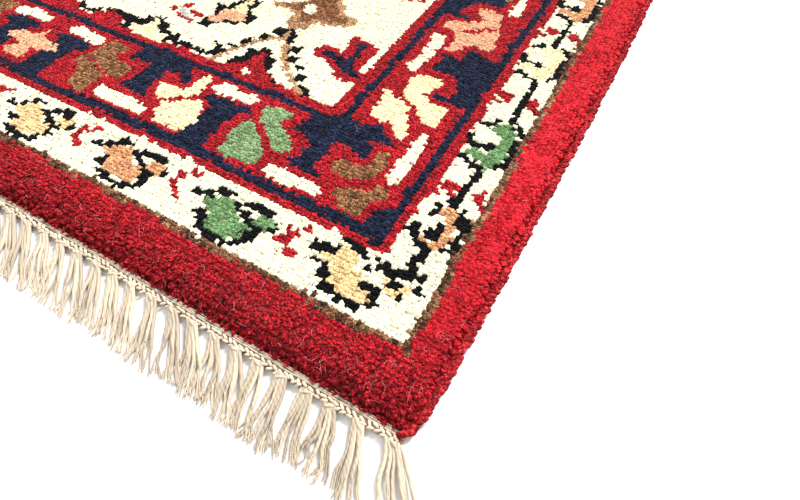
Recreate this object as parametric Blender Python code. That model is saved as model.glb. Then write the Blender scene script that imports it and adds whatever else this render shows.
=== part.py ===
"""Hand-knotted oriental rug, lying flat: a knotted pile carpet with its two long edges overcast in
wool, and at each end a cream woven band from which the warps hang as knotted fringe.

Metres, +Z up. The origin is the middle of the underside, X runs along the fringed ends and Y along
the rug's length.
"""
import math

import bmesh
import bpy
import numpy as np

# Driving sizes
KNOT = 0.003                        # one knot, across and along
KNOTS_ACROSS = 307
KNOTS_ALONG = 507
KNOTS_WITHIN_OUTER_BAND = 288       # the plain band outside these is drawn in towards the corners
PILE_TOP = 0.0105                   # foundation and pile together
GAP = 0.0003                        # between pieces that touch

PILE_HALF_WIDTH = KNOTS_ACROSS * KNOT / 2
PILE_HALF_LENGTH = KNOTS_ALONG * KNOT / 2
INNER_HALF_WIDTH = KNOTS_WITHIN_OUTER_BAND * KNOT / 2

# How the cut pile rounds off towards each edge
SIDE_ROUNDING = (
    # distance in from the edge, height
    (0.0000, 0.0066),
    (0.0016, 0.0088),
    (0.0045, 0.0101),
    (0.0100, PILE_TOP),
)
END_ROUNDING = (
    # distance in from the edge, height
    (0.0000, 0.0036),
    (0.0025, 0.0066),
    (0.0065, 0.0092),
    (0.0130, PILE_TOP),
    (0.0220, PILE_TOP),
    (0.0500, PILE_TOP),
)
MIDDLE_CELLS_ACROSS = 14
MIDDLE_CELLS_ALONG = 22

# The rug isn't quite straight or level
DRAWN_IN = (
    # distance from the end, how far the side edge is drawn in there
    (0.000, 0.0125),
    (0.010, 0.0100),
    (0.022, 0.0086),
    (0.050, 0.0076),
    (0.110, 0.0056),
    (0.240, 0.0026),
    (0.400, 0.0000),
)
TOP_ROLL = 0.0004
WAVES = {
    # height of the wave, length, phase
    "side": (0.0005, 0.53, 0.6),
    "end": (0.0006, 0.38, 1.4),
    "top across": (1.0, 0.31, 0.7),
    "top along": (1.0, 0.43, 1.9),
}

# The overcast edge
OVERCAST_SECTION = (
    # out from the carpet, up
    (0.0000, 0.0000),
    (0.0058, 0.0000),
    (0.0068, 0.0014),
    (0.0068, 0.0036),
    (0.0054, 0.0054),
    (0.0030, 0.0061),
    (0.0006, 0.0056),
    (0.0000, 0.0044),
)
OVERCAST_SLUB = 0.05                # how much the cord swells and thins

# The end band, whose outer wall is the second edge of its section
BAND_WIDTH = 0.0075
BAND_EDGE_HEIGHT = 0.0024
BAND_SECTION = (
    # out from the carpet, up
    (0.0000, 0.0000),
    (BAND_WIDTH, 0.0000),
    (BAND_WIDTH, BAND_EDGE_HEIGHT),
    (0.0045, 0.0036),
    (0.0000, 0.0034),
)
BAND_PAST_CORNER = 0.0030           # it runs on behind the first turns of the overcasting
BAND_HALF_LENGTH = PILE_HALF_WIDTH - DRAWN_IN[0][1] + BAND_PAST_CORNER

# The fringe: groups of knotted warps, and the locks that each falls into
GROUPS = 55
GROUP_PITCH = 2 * BAND_HALF_LENGTH / GROUPS
LOCKS_A_GROUP = 2
LOCK_ROOT_WIDTH = 0.0034
LOCK_ROOT_SPACING = 0.0048
LOCK_SECTIONS = (
    # share of the reach, width, height, spacing of a group's locks
    (0.16, 0.0038, 0.0030, 0.0048),
    (0.50, 0.0046, 0.0026, 0.0060),
    (1.00, 0.0044, 0.0014, 0.0062),
)
LOCK_TOP_SHARE = 0.55               # a lock's top is this share of its width
FRINGE_REACH = 0.0370               # square to the end, from the band
REACH_SPREAD = 0.09
LEAN = (
    # distance from the band's +X end, degrees by which the locks lean towards +X
    (0.000, 20.0),
    (0.022, 21.0),
    (0.040, 15.0),
    (0.062, 13.0),
    (0.085, 19.0),
    (0.105, 28.0),
    (0.127, 36.0),
    (0.160, 38.0),
    (0.200, 35.0),
    (0.225, 33.0),
    (0.255, 41.0),
    (0.290, 45.0),
    (0.400, 40.0),
    (0.520, 46.0),
    (0.700, 34.0),
    (0.902, 40.0),
)
LEAN_EASING = 0.35                  # a lock leans most by the band, and straightens towards its tip
TIP_STRAY = 0.0008
SEED = 31

PILE_RED = (0.40, 0.03, 0.04)
OVERCAST_RED = (0.44, 0.02, 0.03)
CREAM = (0.82, 0.76, 0.62)


def clear_scene():
    for obj in list(bpy.data.objects):
        bpy.data.objects.remove(obj, do_unlink=True)


def new_material(name, colour, roughness):
    material = bpy.data.materials.new(name)
    material.use_nodes = True
    shader = material.node_tree.nodes["Principled BSDF"]
    shader.inputs["Base Color"].default_value = (*colour, 1.0)
    shader.inputs["Roughness"].default_value = roughness
    shader.inputs["Metallic"].default_value = 0.0
    return material


def new_piece(name, builder, material, collection):
    """One named object from a bmesh, with its faces out."""
    bmesh.ops.recalc_face_normals(builder, faces=builder.faces)
    mesh = bpy.data.meshes.new(name)
    builder.to_mesh(mesh)
    builder.free()
    mesh.materials.append(material)
    piece = bpy.data.objects.new(name, mesh)
    collection.objects.link(piece)
    return piece


def wave(kind, place):
    height, length, phase = WAVES[kind]
    return height * math.sin(2 * math.pi * place / length + phase)


def as_it_lies(x, y):
    """Where a place on the straight-sided plan comes to lie."""
    in_outer_band = max(abs(x) - INNER_HALF_WIDTH, 0.0) / (PILE_HALF_WIDTH - INNER_HALF_WIDTH)
    drawn_in = np.interp(PILE_HALF_LENGTH - abs(y), *zip(*DRAWN_IN))
    outward = (wave("side", y) - drawn_in) * in_outer_band
    longer = wave("end", x) / PILE_HALF_LENGTH
    return x + outward * math.copysign(1, x), y * (1 + longer)


def places_to_either_side(half, rounding, middle_cells):
    """Places from -half to half, close together where the edge rounds off."""
    insets = [inset for inset, _ in rounding]
    low = [inset - half for inset in insets[:-1]]
    middle = np.linspace(insets[-1] - half, half - insets[-1], middle_cells + 1)
    return np.concatenate([low, middle, -np.array(low[::-1])])


def pile_height(x, y):
    """The carpet's top, at a place on its straight-sided plan."""
    from_side = np.interp(PILE_HALF_WIDTH - abs(x), *zip(*SIDE_ROUNDING))
    from_end = np.interp(PILE_HALF_LENGTH - abs(y), *zip(*END_ROUNDING))
    lowest = min(from_side, from_end)
    rolling = TOP_ROLL * wave("top across", x) * wave("top along", y)
    return lowest + rolling if lowest >= PILE_TOP else lowest


def columns_and_rows():
    """The places across and along the carpet where its surface is drawn."""
    across = places_to_either_side(PILE_HALF_WIDTH, SIDE_ROUNDING, MIDDLE_CELLS_ACROSS)
    along = places_to_either_side(PILE_HALF_LENGTH, END_ROUNDING, MIDDLE_CELLS_ALONG)
    return across, along


def shaped_grid(builder, columns, rows, place):
    """A grid whose point in each column and row goes where place says."""
    bmesh.ops.create_grid(builder, x_segments=columns - 1, y_segments=rows - 1, size=1.0)
    for vertex in builder.verts:
        column = round((vertex.co.x + 1) / 2 * (columns - 1))
        row = round((vertex.co.y + 1) / 2 * (rows - 1))
        vertex.co = place(column, row)


def shaped_bar(builder, stations, section, place):
    """A section carried through the stations: a grid wrapped round, its seam closed and ends filled."""
    shaped_grid(builder, stations, len(section) + 1,
                lambda station, corner: place(station, *section[corner % len(section)]))
    bmesh.ops.remove_doubles(builder, verts=builder.verts, dist=GAP / 100)
    bmesh.ops.holes_fill(builder, edges=[edge for edge in builder.edges if edge.is_boundary])


def make_pile_carpet(collection):
    """The top is a grid, and its rim goes down to the flat underside."""
    across, along = columns_and_rows()

    def place(column, row):
        x, y = across[column], along[row]
        return (*as_it_lies(x, y), pile_height(x, y))

    builder = bmesh.new()
    shaped_grid(builder, len(across), len(along), place)
    rim = [edge for edge in builder.edges if edge.is_boundary]
    wall = bmesh.ops.extrude_edge_only(builder, edges=rim)["geom"]
    for vertex in (part for part in wall if isinstance(part, bmesh.types.BMVert)):
        vertex.co.z = 0.0
    bmesh.ops.holes_fill(builder, edges=[edge for edge in builder.edges if edge.is_boundary])
    return new_piece("pile_carpet", builder, new_material("wool_pile", PILE_RED, 0.95), collection)


def make_side_overcast(name, side, material, collection):
    """The section follows the carpet's edge, swelling and thinning a little."""
    _, along = columns_and_rows()
    rng = np.random.default_rng(SEED + side)
    slub = 1 + OVERCAST_SLUB * rng.uniform(-1, 1, len(along))

    def place(station, out, up):
        x, y = as_it_lies(side * PILE_HALF_WIDTH, along[station])
        return (x + side * (GAP + out * slub[station]), y, up * slub[station])

    builder = bmesh.new()
    shaped_bar(builder, len(along), OVERCAST_SECTION, place)
    return new_piece(name, builder, material, collection)


def lock_table(rng):
    """Each lock of one end: its group's place, its side in the group, how far it leans and its reach."""
    locks = []
    for group in range(GROUPS):
        middle = (group + 0.5) * GROUP_PITCH - BAND_HALF_LENGTH
        lean = math.radians(np.interp(BAND_HALF_LENGTH - middle, *zip(*LEAN)))
        shift = FRINGE_REACH * math.tan(lean) + TIP_STRAY * rng.uniform(-1, 1)
        for lock in range(LOCKS_A_GROUP):
            offset = lock - (LOCKS_A_GROUP - 1) / 2
            reach = FRINGE_REACH * (1 - REACH_SPREAD * rng.uniform())
            locks.append((middle, offset, shift, reach))
    return locks


def grow_locks(builder, end, locks):
    """Draws each lock out of its own stretch of the band's outer wall, one section after another."""
    band_edge = PILE_HALF_LENGTH + GAP + BAND_WIDTH / 2
    walls = [face for face in builder.faces
             if end * face.normal.y > 0.9 and end * face.calc_center_median().y > band_edge]
    for middle, offset, shift, reach in locks:
        root = middle + offset * LOCK_ROOT_SPACING
        face = min(walls, key=lambda wall: abs(wall.calc_center_median().x - root))
        walls.remove(face)
        start = face.calc_center_median().y
        for share, width, height, spacing in LOCK_SECTIONS:
            face = bmesh.ops.extrude_discrete_faces(builder, faces=[face])["faces"][0]
            centre = face.calc_center_median()
            x = middle + offset * spacing + shift * share * (1 + LEAN_EASING * (1 - share))
            for vertex in face.verts:
                is_top = vertex.co.z > centre.z
                half = width / 2 * (LOCK_TOP_SHARE if is_top else 1.0)
                towards = 1 if vertex.co.x > centre.x else -1
                vertex.co = (x + towards * half, start + end * reach * share, height * is_top)


def make_fringe(name, end, material, collection):
    """The woven band is one bar, cut into stretches at each lock's root."""
    locks = lock_table(np.random.default_rng(SEED + 10 * end + 20))
    half_root = LOCK_ROOT_WIDTH / 2
    roots = [middle + offset * LOCK_ROOT_SPACING for middle, offset, _, _ in locks]
    stretches = sorted([-BAND_HALF_LENGTH, BAND_HALF_LENGTH]
                       + [root - half_root for root in roots] + [root + half_root for root in roots])
    across, _ = columns_and_rows()
    edge_x, edge_y = zip(*(as_it_lies(x, PILE_HALF_LENGTH) for x in across))

    def place(station, out, up):
        x = stretches[station]
        return (x, end * (np.interp(x, edge_x, edge_y) + GAP + out), up)

    builder = bmesh.new()
    shaped_bar(builder, len(stretches), BAND_SECTION, place)
    bmesh.ops.recalc_face_normals(builder, faces=builder.faces)
    grow_locks(builder, end, locks)
    return new_piece(name, builder, material, collection)


def main():
    clear_scene()
    rug = bpy.data.collections.new("oriental_rug")
    bpy.context.scene.collection.children.link(rug)
    overcast_wool = new_material("overcast_wool", OVERCAST_RED, 0.92)
    cotton = new_material("cream_cotton", CREAM, 0.88)
    make_pile_carpet(rug)
    make_side_overcast("side_overcast_left", -1, overcast_wool, rug)
    make_side_overcast("side_overcast_right", 1, overcast_wool, rug)
    make_fringe("fringe_near", -1, cotton, rug)
    make_fringe("fringe_far", 1, cotton, rug)


main()
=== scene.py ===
"""The oriental rug's looks: a cut wool pile knotted from a chart, wool overcasting along the sides, and a
cream woven end with its chained cord and knotted cotton fringe."""

import math

import bmesh
import bpy
import numpy as np
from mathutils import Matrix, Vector


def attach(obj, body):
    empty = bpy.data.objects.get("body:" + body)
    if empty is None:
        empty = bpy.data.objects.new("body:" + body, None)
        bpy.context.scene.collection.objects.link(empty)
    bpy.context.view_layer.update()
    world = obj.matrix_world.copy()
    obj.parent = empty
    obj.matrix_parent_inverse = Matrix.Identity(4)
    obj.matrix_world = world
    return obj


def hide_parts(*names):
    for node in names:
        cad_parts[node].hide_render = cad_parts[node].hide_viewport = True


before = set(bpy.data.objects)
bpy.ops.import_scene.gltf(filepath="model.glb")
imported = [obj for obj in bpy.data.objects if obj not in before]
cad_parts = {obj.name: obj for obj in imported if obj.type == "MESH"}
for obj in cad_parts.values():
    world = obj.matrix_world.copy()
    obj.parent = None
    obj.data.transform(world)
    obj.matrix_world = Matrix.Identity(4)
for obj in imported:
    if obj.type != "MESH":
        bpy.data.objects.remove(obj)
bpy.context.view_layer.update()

# The carpet's own sizes, in metres
KNOT = 0.003
KNOTS_ACROSS = 307
KNOTS_ALONG = 507
KNOTS_WITHIN_OUTER_BAND = 288
PILE_TOP = 0.0105
GAP = 0.0003
PILE_HALF_WIDTH = KNOTS_ACROSS * KNOT / 2
PILE_HALF_LENGTH = KNOTS_ALONG * KNOT / 2
INNER_HALF_WIDTH = KNOTS_WITHIN_OUTER_BAND * KNOT / 2

SIDE_ROUNDING = (
    # distance in from the edge, height of the pile
    (0.0000, 0.0066),
    (0.0016, 0.0088),
    (0.0045, 0.0101),
    (0.0100, PILE_TOP),
)
END_ROUNDING = (
    # distance in from the edge, height of the pile
    (0.0000, 0.0036),
    (0.0025, 0.0066),
    (0.0065, 0.0092),
    (0.0130, PILE_TOP),
)
DRAWN_IN = (
    # distance from the end, how far the side edge is drawn in there
    (0.000, 0.0125),
    (0.010, 0.0100),
    (0.022, 0.0086),
    (0.050, 0.0076),
    (0.110, 0.0056),
    (0.240, 0.0026),
    (0.400, 0.0000),
)
TOP_ROLL = 0.0004
WAVES = {
    # height of the wave, length, phase
    "side": (0.0005, 0.53, 0.6),
    "end": (0.0006, 0.38, 1.4),
    "top across": (1.0, 0.31, 0.7),
    "top along": (1.0, 0.43, 1.9),
}

# Dyed yarns, as they look in the light
YARNS = {
    "red": (216, 38, 49),
    "navy": (37, 46, 75),
    "black": (12, 13, 18),
    "ivory": (244, 240, 204),
    "green": (142, 172, 120),
    "leaf green": (124, 164, 108),
    "brown": (174, 120, 80),
    "line brown": (142, 100, 72),
    "tan": (172, 116, 78),
    "pale tan": (210, 160, 116),
    "peach": (252, 188, 148),
    "apricot": (236, 170, 122),
    "gold": (252, 230, 180),
    "deep gold": (243, 206, 150),
    "grey": (196, 192, 186),
}
UNEVEN = {
    # how far a yarn's knots differ from one another, where it is more than a little
    "brown": 0.42,
    "line brown": 0.74,
    "tan": 0.24,
    "pale tan": 0.16,
    "green": 0.24,
    "leaf green": 0.26,
    "peach": 0.16,
    "apricot": 0.20,
    "navy": 0.62,
    "red": 0.20,
}
EVEN = 0.09
YARN_NAMES = list(YARNS)
SEED = 7

# The chart is drawn in knots from the outer corner of the brown line at +X, -Y, up to the rug's middle, and
# the other three quarters mirror the one that is drawn
CORNER_COLUMN = 297
CORNER_ROW = 12
MIDDLE_X = (KNOTS_ACROSS - 1) / 2 - CORNER_COLUMN
MIDDLE_Y = (KNOTS_ALONG - 1) / 2 - CORNER_ROW

# Rows and columns that the motifs are set on, and how far from one another they are repeated
GUARD_FLOWER_ROW = 8
GUARD_BUD_ROW = 8.6
GUARD_BUD_BESIDE = 15.4
GUARD_LEAF_COLUMN = -6.3
GUARD_BUD_COLUMN = -6.4
BORDER_ROW = 31
SIDE_PITCH = 72.2
FACING_BLOCK = (-63.4, 38.4)
RED_LEAF_BESIDE = 14
RED_LEAF_BELOW = 6
VINE_WIDTH = 1.5

# How far a colour's edge strays from knot to knot and wavers along its way, and how long the wavers are
EDGE_STRAY = 0.3
EDGE_WAVER = 0.3
WAVER_ALONG = (3.7, 11)
WAVER_ACROSS = (4.1, 13)

FRAMES = (
    # yarn, how far inside the corner it starts from the side and from the end, in knots
    ("line brown", -0.3, -1.0),
    ("ivory", 1.8, 0.5),
    ("red", 13.9, 15.6),
    ("navy", 16.5, 17.7),
    ("red", 18.8, 20.1),
    ("navy", 43.6, 43.6),
    ("red", 45.9, 45.8),
    ("ivory", 49.3, 48.6),
)
SIDE_TURNS = (
    # for each turn of the side border: yarn of its leaf, yarn of its star
    ("gold", "peach"),
    ("green", "brown"),
    ("gold", "peach"),
)

# Motifs: yarn, width of a drawn line or 0 for a filled area, and its places in knots
GUARD_FLOWER = (
    ("body", 0, ((-9, 2), (-7.4, 2.6), (-5.7, 3.7), (-3.8, 3.7), (-1.8, 3.2), (-.2, 1.5), (1.2, .4),
                 (4, .1), (5.7, -.4), (6.2, -2.1), (5.7, -3.8), (2.9, -4.9), (-.4, -5.2), (-3.8, -4.6),
                 (-4.3, -3.2), (-4.3, -1.6), (-6, -1), (-7.7, .1), (-9.6, .4))),
    ("black", 0, ((-7.7, 4.5), (-6.5, 5.9), (-2.5, 5.6), (-2.4, 4.2), (-5, 4.1), (-6.5, 3.6))),
    ("black", 0, ((-9.8, 1.5), (-9.4, 3.4), (-7.6, 3.6), (-7.2, 2.4), (-8.6, 1.4))),
    ("black", 0, ((-13.4, 1.3), (-12.6, 2.6), (-10.4, 2.3), (-9.6, 1.2), (-11, .5))),
    ("black", 0, ((-7.8, -1.6), (-6, -1.2), (-4.3, -1.8), (-4.4, -3.8), (-6.4, -3.7), (-7.6, -2.8))),
    ("bud", 0, ((5.6, 4), (7.8, 4.4), (9.4, 3.6), (10.2, 1.8), (9.6, .4), (7.6, .2), (5.6, .6), (4.8, 1.6))),
    ("black", 1.7, ((-1.3, 3.2), (3.2, 1.4), (5.8, 0), (8.2, -.3))),
    ("black", 0, ((0, 4.2), (1.6, 5.7), (5.4, 6), (7.6, 5.7), (8.2, 4), (6.4, 3.5), (4.4, 4.2),
                  (2.8, 3.6), (1.2, 3.5))),
    ("black", 0, ((9.4, 3.6), (11, 2.6), (11.9, .8), (10.6, -.2), (9.4, .6), (9.6, 2.2))),
    ("black", 0, ((6, -1.2), (8.5, -1), (8.9, -3.6), (7.2, -4.2), (6, -3.4))),
    ("black", 1.6, ((-4.4, -4.8), (-1, -6), (3, -6.1), (6.6, -4.7))),
)
GUARD_STEM = (
    ("black", 1.8, ((-7.4, 34), (-7.2, 47), (-6.4, 66), (-6.4, 82), (-7.4, 104), (-7.2, 150), (-7, 241))),
)
LEAF_POCKET = (
    ("ivory", 0, ((-6.6, -6), (-6.6, 6), (-.6, 6), (2.6, 3), (2.6, -3), (.6, -6))),
)
GUARD_BUD = (
    ("red", 0, ((-3.4, 3.6), (-.4, 3.6), (.4, 2.2), (-.6, 1), (-.6, -.2), (-1.4, -1), (-3.6, -.6),
                (-2.8, .6), (-2.4, 2))),
    ("red", 0, ((-.3, 3.4), (.2, 5.3), (2.6, 5.2), (2.8, 3.8), (1.2, 3.4))),
    ("red", 1.4, ((-1.2, -.6), (.6, -1.4), (1.2, -2.2))),
    ("red", 0, ((.8, -1.6), (2.7, -1.6), (2.8, -3.4), (1, -3.7))),
)
CORNER_FLOWER = (
    ("deep gold", 0, ((-22.7, 13.7), (-21.1, 12.4), (-19.7, 12.8), (-18.1, 11.2), (-18.3, 9.5),
                      (-16.4, 9.2), (-14.4, 8.9), (-12.8, 7.8), (-11.7, 6.4), (-11.7, 4.2), (-14.4, 3.7),
                      (-18.3, 3.8), (-21.4, 3.6), (-21.1, 5.3), (-22.8, 7.6), (-25.6, 8.4), (-26.9, 9.2),
                      (-27.2, 10), (-24.4, 10.6), (-23.9, 12.3))),
    ("black", 0, ((-24.7, 15.3), (-18.4, 15.4), (-17.6, 13.4), (-19.6, 12.7), (-21, 12.9), (-22.4, 14.2),
                  (-23.3, 14), (-24, 12.6))),
    ("black", 1.4, ((-18, 13), (-16.2, 12.6), (-15.6, 10.8))),
    ("black", 0, ((-14.4, 14), (-11, 14.4), (-9.8, 12.4), (-10.8, 10.7), (-12.6, 11.2), (-14.6, 12))),
    ("black", 1.4, ((-15.6, 14), (-12.6, 13.4), (-9, 13.4), (-4.8, 14.2))),
    ("ivory", 1.0, ((-13.2, 12.2), (-11.8, 12.2))),
    ("black", 1.6, ((-12, 12), (-9.6, 10.6), (-8.4, 9.4), (-7.4, 7.8))),
    ("black", 1.7, ((-8.6, 10), (-6.4, 10.6), (-3.8, 11))),
    ("black", 0, ((-8.6, 8.7), (-6.6, 9), (-6.2, 7.4), (-8, 7.1))),
    ("deep gold", 1.6, ((-11.2, 11.4), (-11, 11.3))),
    ("deep gold", 1.8, ((-9.7, 9.4), (-8.6, 8.7))),
    ("deep gold", 1.7, ((-7.4, 10.4), (-6.6, 10.1))),
    ("black", 1.7, ((-15, 8), (-11.4, 8))),
    ("black", 0, ((-11.8, 6.7), (-10.2, 6.6), (-9.7, 4.4), (-10.6, 3.6), (-11.9, 4))),
    ("black", 1.9, ((-21.8, 2.8), (-17, 2.9), (-12.6, 2.7))),
    ("ivory", 1.1, ((-19, 1.7), (-18.8, 2.2))),
    ("ivory", 1.1, ((-15.6, 1.6), (-15.4, 2.2))),
    ("black", 1.6, ((-29.4, 11.2), (-26.6, 11), (-24.4, 11.2))),
    ("black", 1.4, ((-28.8, 10.2), (-27.4, 9.7))),
    ("black", 1.5, ((-26.8, 7.9), (-24.4, 7.7))),
    ("black", 0, ((-24.8, 7.2), (-22.4, 7.2), (-21.6, 5), (-21.8, 3.8), (-23.8, 3.7), (-24.4, 5.4))),
    ("black", 1.9, ((-7.8, 13.6), (-8.0, 17), (-7.6, 20.6))),
)
C_LEAF = (
    ("black", 2.4, ((-1.3, 6.4), (-1.3, 13.2))),
    ("body", 0, ((-2, 6.7), (-.5, 6.7), (.5, 5), (.5, 3.5), (2, 2), (2.5, -.5), (2.7, -2.5), (1.5, -4),
                 (.5, -5.5), (-.5, -6.2), (-2, -5.5), (-3.5, -4.7), (-5, -4), (-4.5, -3), (-2.5, -3.5),
                 (-1, -4.2), (0, -3.5), (.2, -1), (0, 1.5), (-1, 2.8), (-3, 3.8), (-4.3, 4.5), (-3, 5.3))),
    ("black", 0, ((-7, 4), (-4.6, 4.6), (-4.6, 6.6), (-2.8, 6.8), (-2.9, 5.3), (-4.3, 4.5), (-3, 3.7),
                  (-4.6, 3.1))),
    ("black", 0, ((.3, 6.6), (1.8, 6.6), (1.6, 5.1), (4, 5.4), (5.3, 4.5), (5, 3), (3, 2), (2, 2.2),
                  (.5, 3.8))),
    ("black", 0, ((3, 4.6), (4.9, 4.4), (4.6, 2), (3.9, -.5), (4.8, -1.6), (4.5, -4), (2.5, -5),
                  (1, -5.6), (1.3, -4.5), (2.7, -3.5), (2.7, -.5), (2.2, 2))),
    ("black", 0, ((-8, -2.6), (-6.4, 0), (-4.5, -1), (-4, -3.2), (-2, -4.7), (-1.5, -6), (-3, -6.1),
                  (-5.2, -4.5))),
    ("black", 0, ((-2.6, 2.1), (-.2, 1.7), (.2, -1), (-.1, -3), (-2, -3.3), (-3.6, -2.5), (-3, -1),
                  (-2, 0))),
    ("black", 2.4, ((-1.1, -6), (-1.3, -9))),
)
LONG_LEAF = (
    ("body", 0, ((-3.7, 7.5), (-2.2, 9), (1.3, 8), (2.5, 6.5), (3.1, 4.5), (3, .5), (3.3, -2.5), (2.1, -5),
                 (1.3, -7.5), (-.2, -9), (-1.7, -6), (-3.7, -5.5), (-6.2, -4.5), (-6.5, -2.5),
                 (-4.7, -1.5), (-2.7, -2.5), (-1.2, -3), (-.2, -1), (.3, 1.5), (-.7, 4), (-2.7, 5))),
    ("black", 0, ((-7, 6), (-4.4, 6.6), (-3.6, 7.6), (-2.4, 9.2), (-3.6, 10.2), (-5.6, 8.4), (-7.2, 7.4))),
    ("black", 0, ((1.2, 8.2), (2.6, 6.8), (3.2, 5.4), (4.8, 5.2), (4.2, 8.6), (2.4, 9.8), (1, 9.6))),
    ("black", 0, ((3.2, 4.6), (4.7, 4.4), (4.9, -4.6), (3.6, -6.6), (2, -7.8), (1.6, -6), (3.4, -3),
                  (3.2, .4))),
    ("black", 0, ((-7.8, 2.6), (-6.2, 3), (-5.6, .4), (-3.2, -.4), (-1.2, 1.4), (-.2, .6), (-.4, -1.4),
                  (-1.4, -2.8), (-4.4, -1.2), (-6.6, -2.2), (-7.6, -1))),
    ("black", 0, ((-7.2, -4.8), (-5.4, -5.4), (-3.6, -6.2), (-1.8, -7.2), (-1, -8.8), (-2.4, -9),
                  (-4.6, -7.6), (-6.8, -6.6))),
)
BUD_PAIR = (
    ("red", 0, ((-6.8, 1.6), (-3.6, 2.4), (-2.6, 1), (-2.6, -1.6), (-4.2, -2.2), (-5.2, -.6), (-6.6, -.2))),
    ("red", 1.5, ((-7.4, -1.8), (-6.4, -2.6), (-5.4, -2.2))),
    ("red", 0, ((1.4, 1.8), (3.2, 2.2), (4.2, .6), (3.8, -1.6), (2.2, -2), (1.2, -.6))),
    ("red", 1.4, ((3.8, -2), (4.8, -3))),
)
GREEN_LEAF = (
    ("body", 0, ((-7.3, 2.7), (-5.9, 3.2), (-5.1, 1.8), (-3.2, 1), (-.4, -.7), (1.3, -1.8), (1.8, -2.6),
                 (3.1, -2.9), (4.1, -5.1), (4.3, -7.6), (2.9, -9), (-.4, -9.6), (-4, -10.1), (-6.5, -9.6),
                 (-7.1, -6.8), (-7.6, -2.9), (-7.6, .4))),
    ("body", 0, ((-5.4, 9), (-3.7, 10.4), (1.6, 10.4), (2.4, 9.6), (2.1, 7.7), (.4, 7.1), (1.8, 5.4),
                 (4.6, 3.8), (6.8, 3.2), (8.5, .4), (9.6, -1), (7.9, -2.1), (5.7, -2.1), (3.5, -1.2),
                 (1.3, .4), (-.4, 2.1), (-2.6, 3.2), (-4.8, 3.8), (-5.7, 5.4), (-5.7, 7.7))),
)
GOLD_LEAF = (
    ("body", 0, ((-2.8, -4), (-1, -7.5), (.5, -9.8), (8.6, -9.4), (10.2, -7), (10, -4), (9, 0), (7, 1.7),
                 (4.5, 2.2), (3, .6), (1, .2), (1, -1.5), (-2.5, -2))),
    ("body", 0, ((-9, 3.2), (-6, 4), (-3.5, 3.5), (-1, 4), (-.5, 7), (-1, 9), (-.2, 11), (.6, 11.6),
                 (2, 10), (3, 7), (3.5, 4), (3, 2), (0, 1), (-1.5, -1), (-4, -1.6), (-7.5, -1.5),
                 (-7.4, .2), (-9, 2))),
    ("red", 2.1, ((-1.2, -.9), (-.9, -.6))),
    ("red", 1.2, ((.6, 1.2), (3, 1.6), (4.6, 2.6))),
)
BROWN_LEAF = (
    ("body", 0, ((-8.5, 10), (-6.5, 11.6), (-3.5, 10.5), (-.5, 11), (0, 8.5), (-1.5, 7.4), (-.5, 6),
                 (2.5, 5), (6.5, 5), (8.4, 1), (8.6, -1), (5.5, -1.5), (3.5, -2), (3, -4), (3.5, -7),
                 (3.6, -10), (1.5, -10.2), (-1.5, -9.5), (-3.5, -8), (-5.5, -4), (-9.5, -1), (-10, 2),
                 (-7.5, 4), (-8, 7.5))),
    ("red", .9, ((-8, 2.6), (-4, 1.4), (-.6, -.4), (2.6, -1.6))),
)
PEACH_STAR = (
    ("body", 0, ((-5, 2.2), (0, 3), (2, 1.7), (6, 1.6), (8.6, .6), (11.6, -.6), (9, -2), (5, -3),
                 (2.5, -4), (4, -5.6), (4.4, -7), (3, -9), (-5, -9.6))),
    ("body", 0, ((-6, 10.6), (-1.6, 10.6), (0, 6), (.6, 2.6), (-5, 2.6))),
)
CORNER_LEAF = (
    ("brown", 0, ((-33, 26.5), (-31, 27.5), (-29, 27), (-28, 28.5), (-26, 29), (-26, 30.5), (-24, 31.5),
                  (-22, 31), (-21.5, 29), (-22, 27), (-24.5, 26.3), (-24.5, 24), (-24, 22), (-25, 20.7),
                  (-27, 20.7), (-30, 21.5), (-31.5, 23), (-33, 24))),
    ("brown", 0, ((-38.5, 33.5), (-36, 34.3), (-33, 33.8), (-31, 35), (-30.5, 38), (-30, 41), (-28, 41.3),
                  (-27, 39.5), (-27, 34), (-27, 32.5), (-29, 31.5), (-31, 29.5), (-34, 29), (-37, 29.5),
                  (-38.5, 31.5))),
    ("navy", 0, ((-20, 26.5), (-18, 27.5), (-16.2, 27), (-16.3, 17), (-21, 17), (-21.8, 20.5),
                 (-21.8, 24))),
    ("navy", 0, ((-53.3, 40.6), (-52.8, 42.8), (-53.3, 44.2), (-48.9, 45.9), (-44.4, 46.6), (-43.6, 47.5),
                 (-40, 47), (-36.7, 47.3), (-36.1, 49), (-34.4, 48.7), (-33.9, 46.7), (-30, 45),
                 (-28, 43.2), (-31, 43.6), (-35.6, 43.4), (-34.4, 41.4), (-33, 40.9), (-32.8, 36.2),
                 (-34.2, 35.9), (-35.3, 38.1), (-39.7, 38.7), (-42.2, 38.4), (-41.1, 33.7), (-42, 30.3),
                 (-40.3, 28), (-38.9, 27), (-41.7, 26.4), (-48.6, 27.6), (-49.2, 28.1), (-46.4, 29.8),
                 (-47, 33.7), (-47.8, 36.2), (-51, 36.4), (-54.7, 37.3), (-55, 37.8), (-52.2, 39.2))),
    ("red", 0, ((-43.2, 46.2), (-28, 46.2), (-28, 44.8), (-43.2, 44.8))),
    ("navy", 0, ((-47, 47.6), (-40, 47), (-36.7, 47.3), (-36.1, 49), (-34.4, 48.7), (-33.9, 46.9),
                 (-30, 45.2), (-28, 43.2), (-35.6, 43.2), (-47, 43.2))),
    ("ivory", 0, ((-25.3, 50), (-24.5, 51.5), (-22.2, 50.5), (-21.7, 33), (-22.5, 32.3), (-24.8, 33.5),
                  (-25, 40))),
)
IVORY_BAR = (
    ("ivory", 0, ((-51.5, 23.5), (-49.5, 25.4), (-36, 24.9), (-35, 23.5), (-36.5, 21.6), (-47, 21),
                  (-51.5, 22.4))),
)
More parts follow.
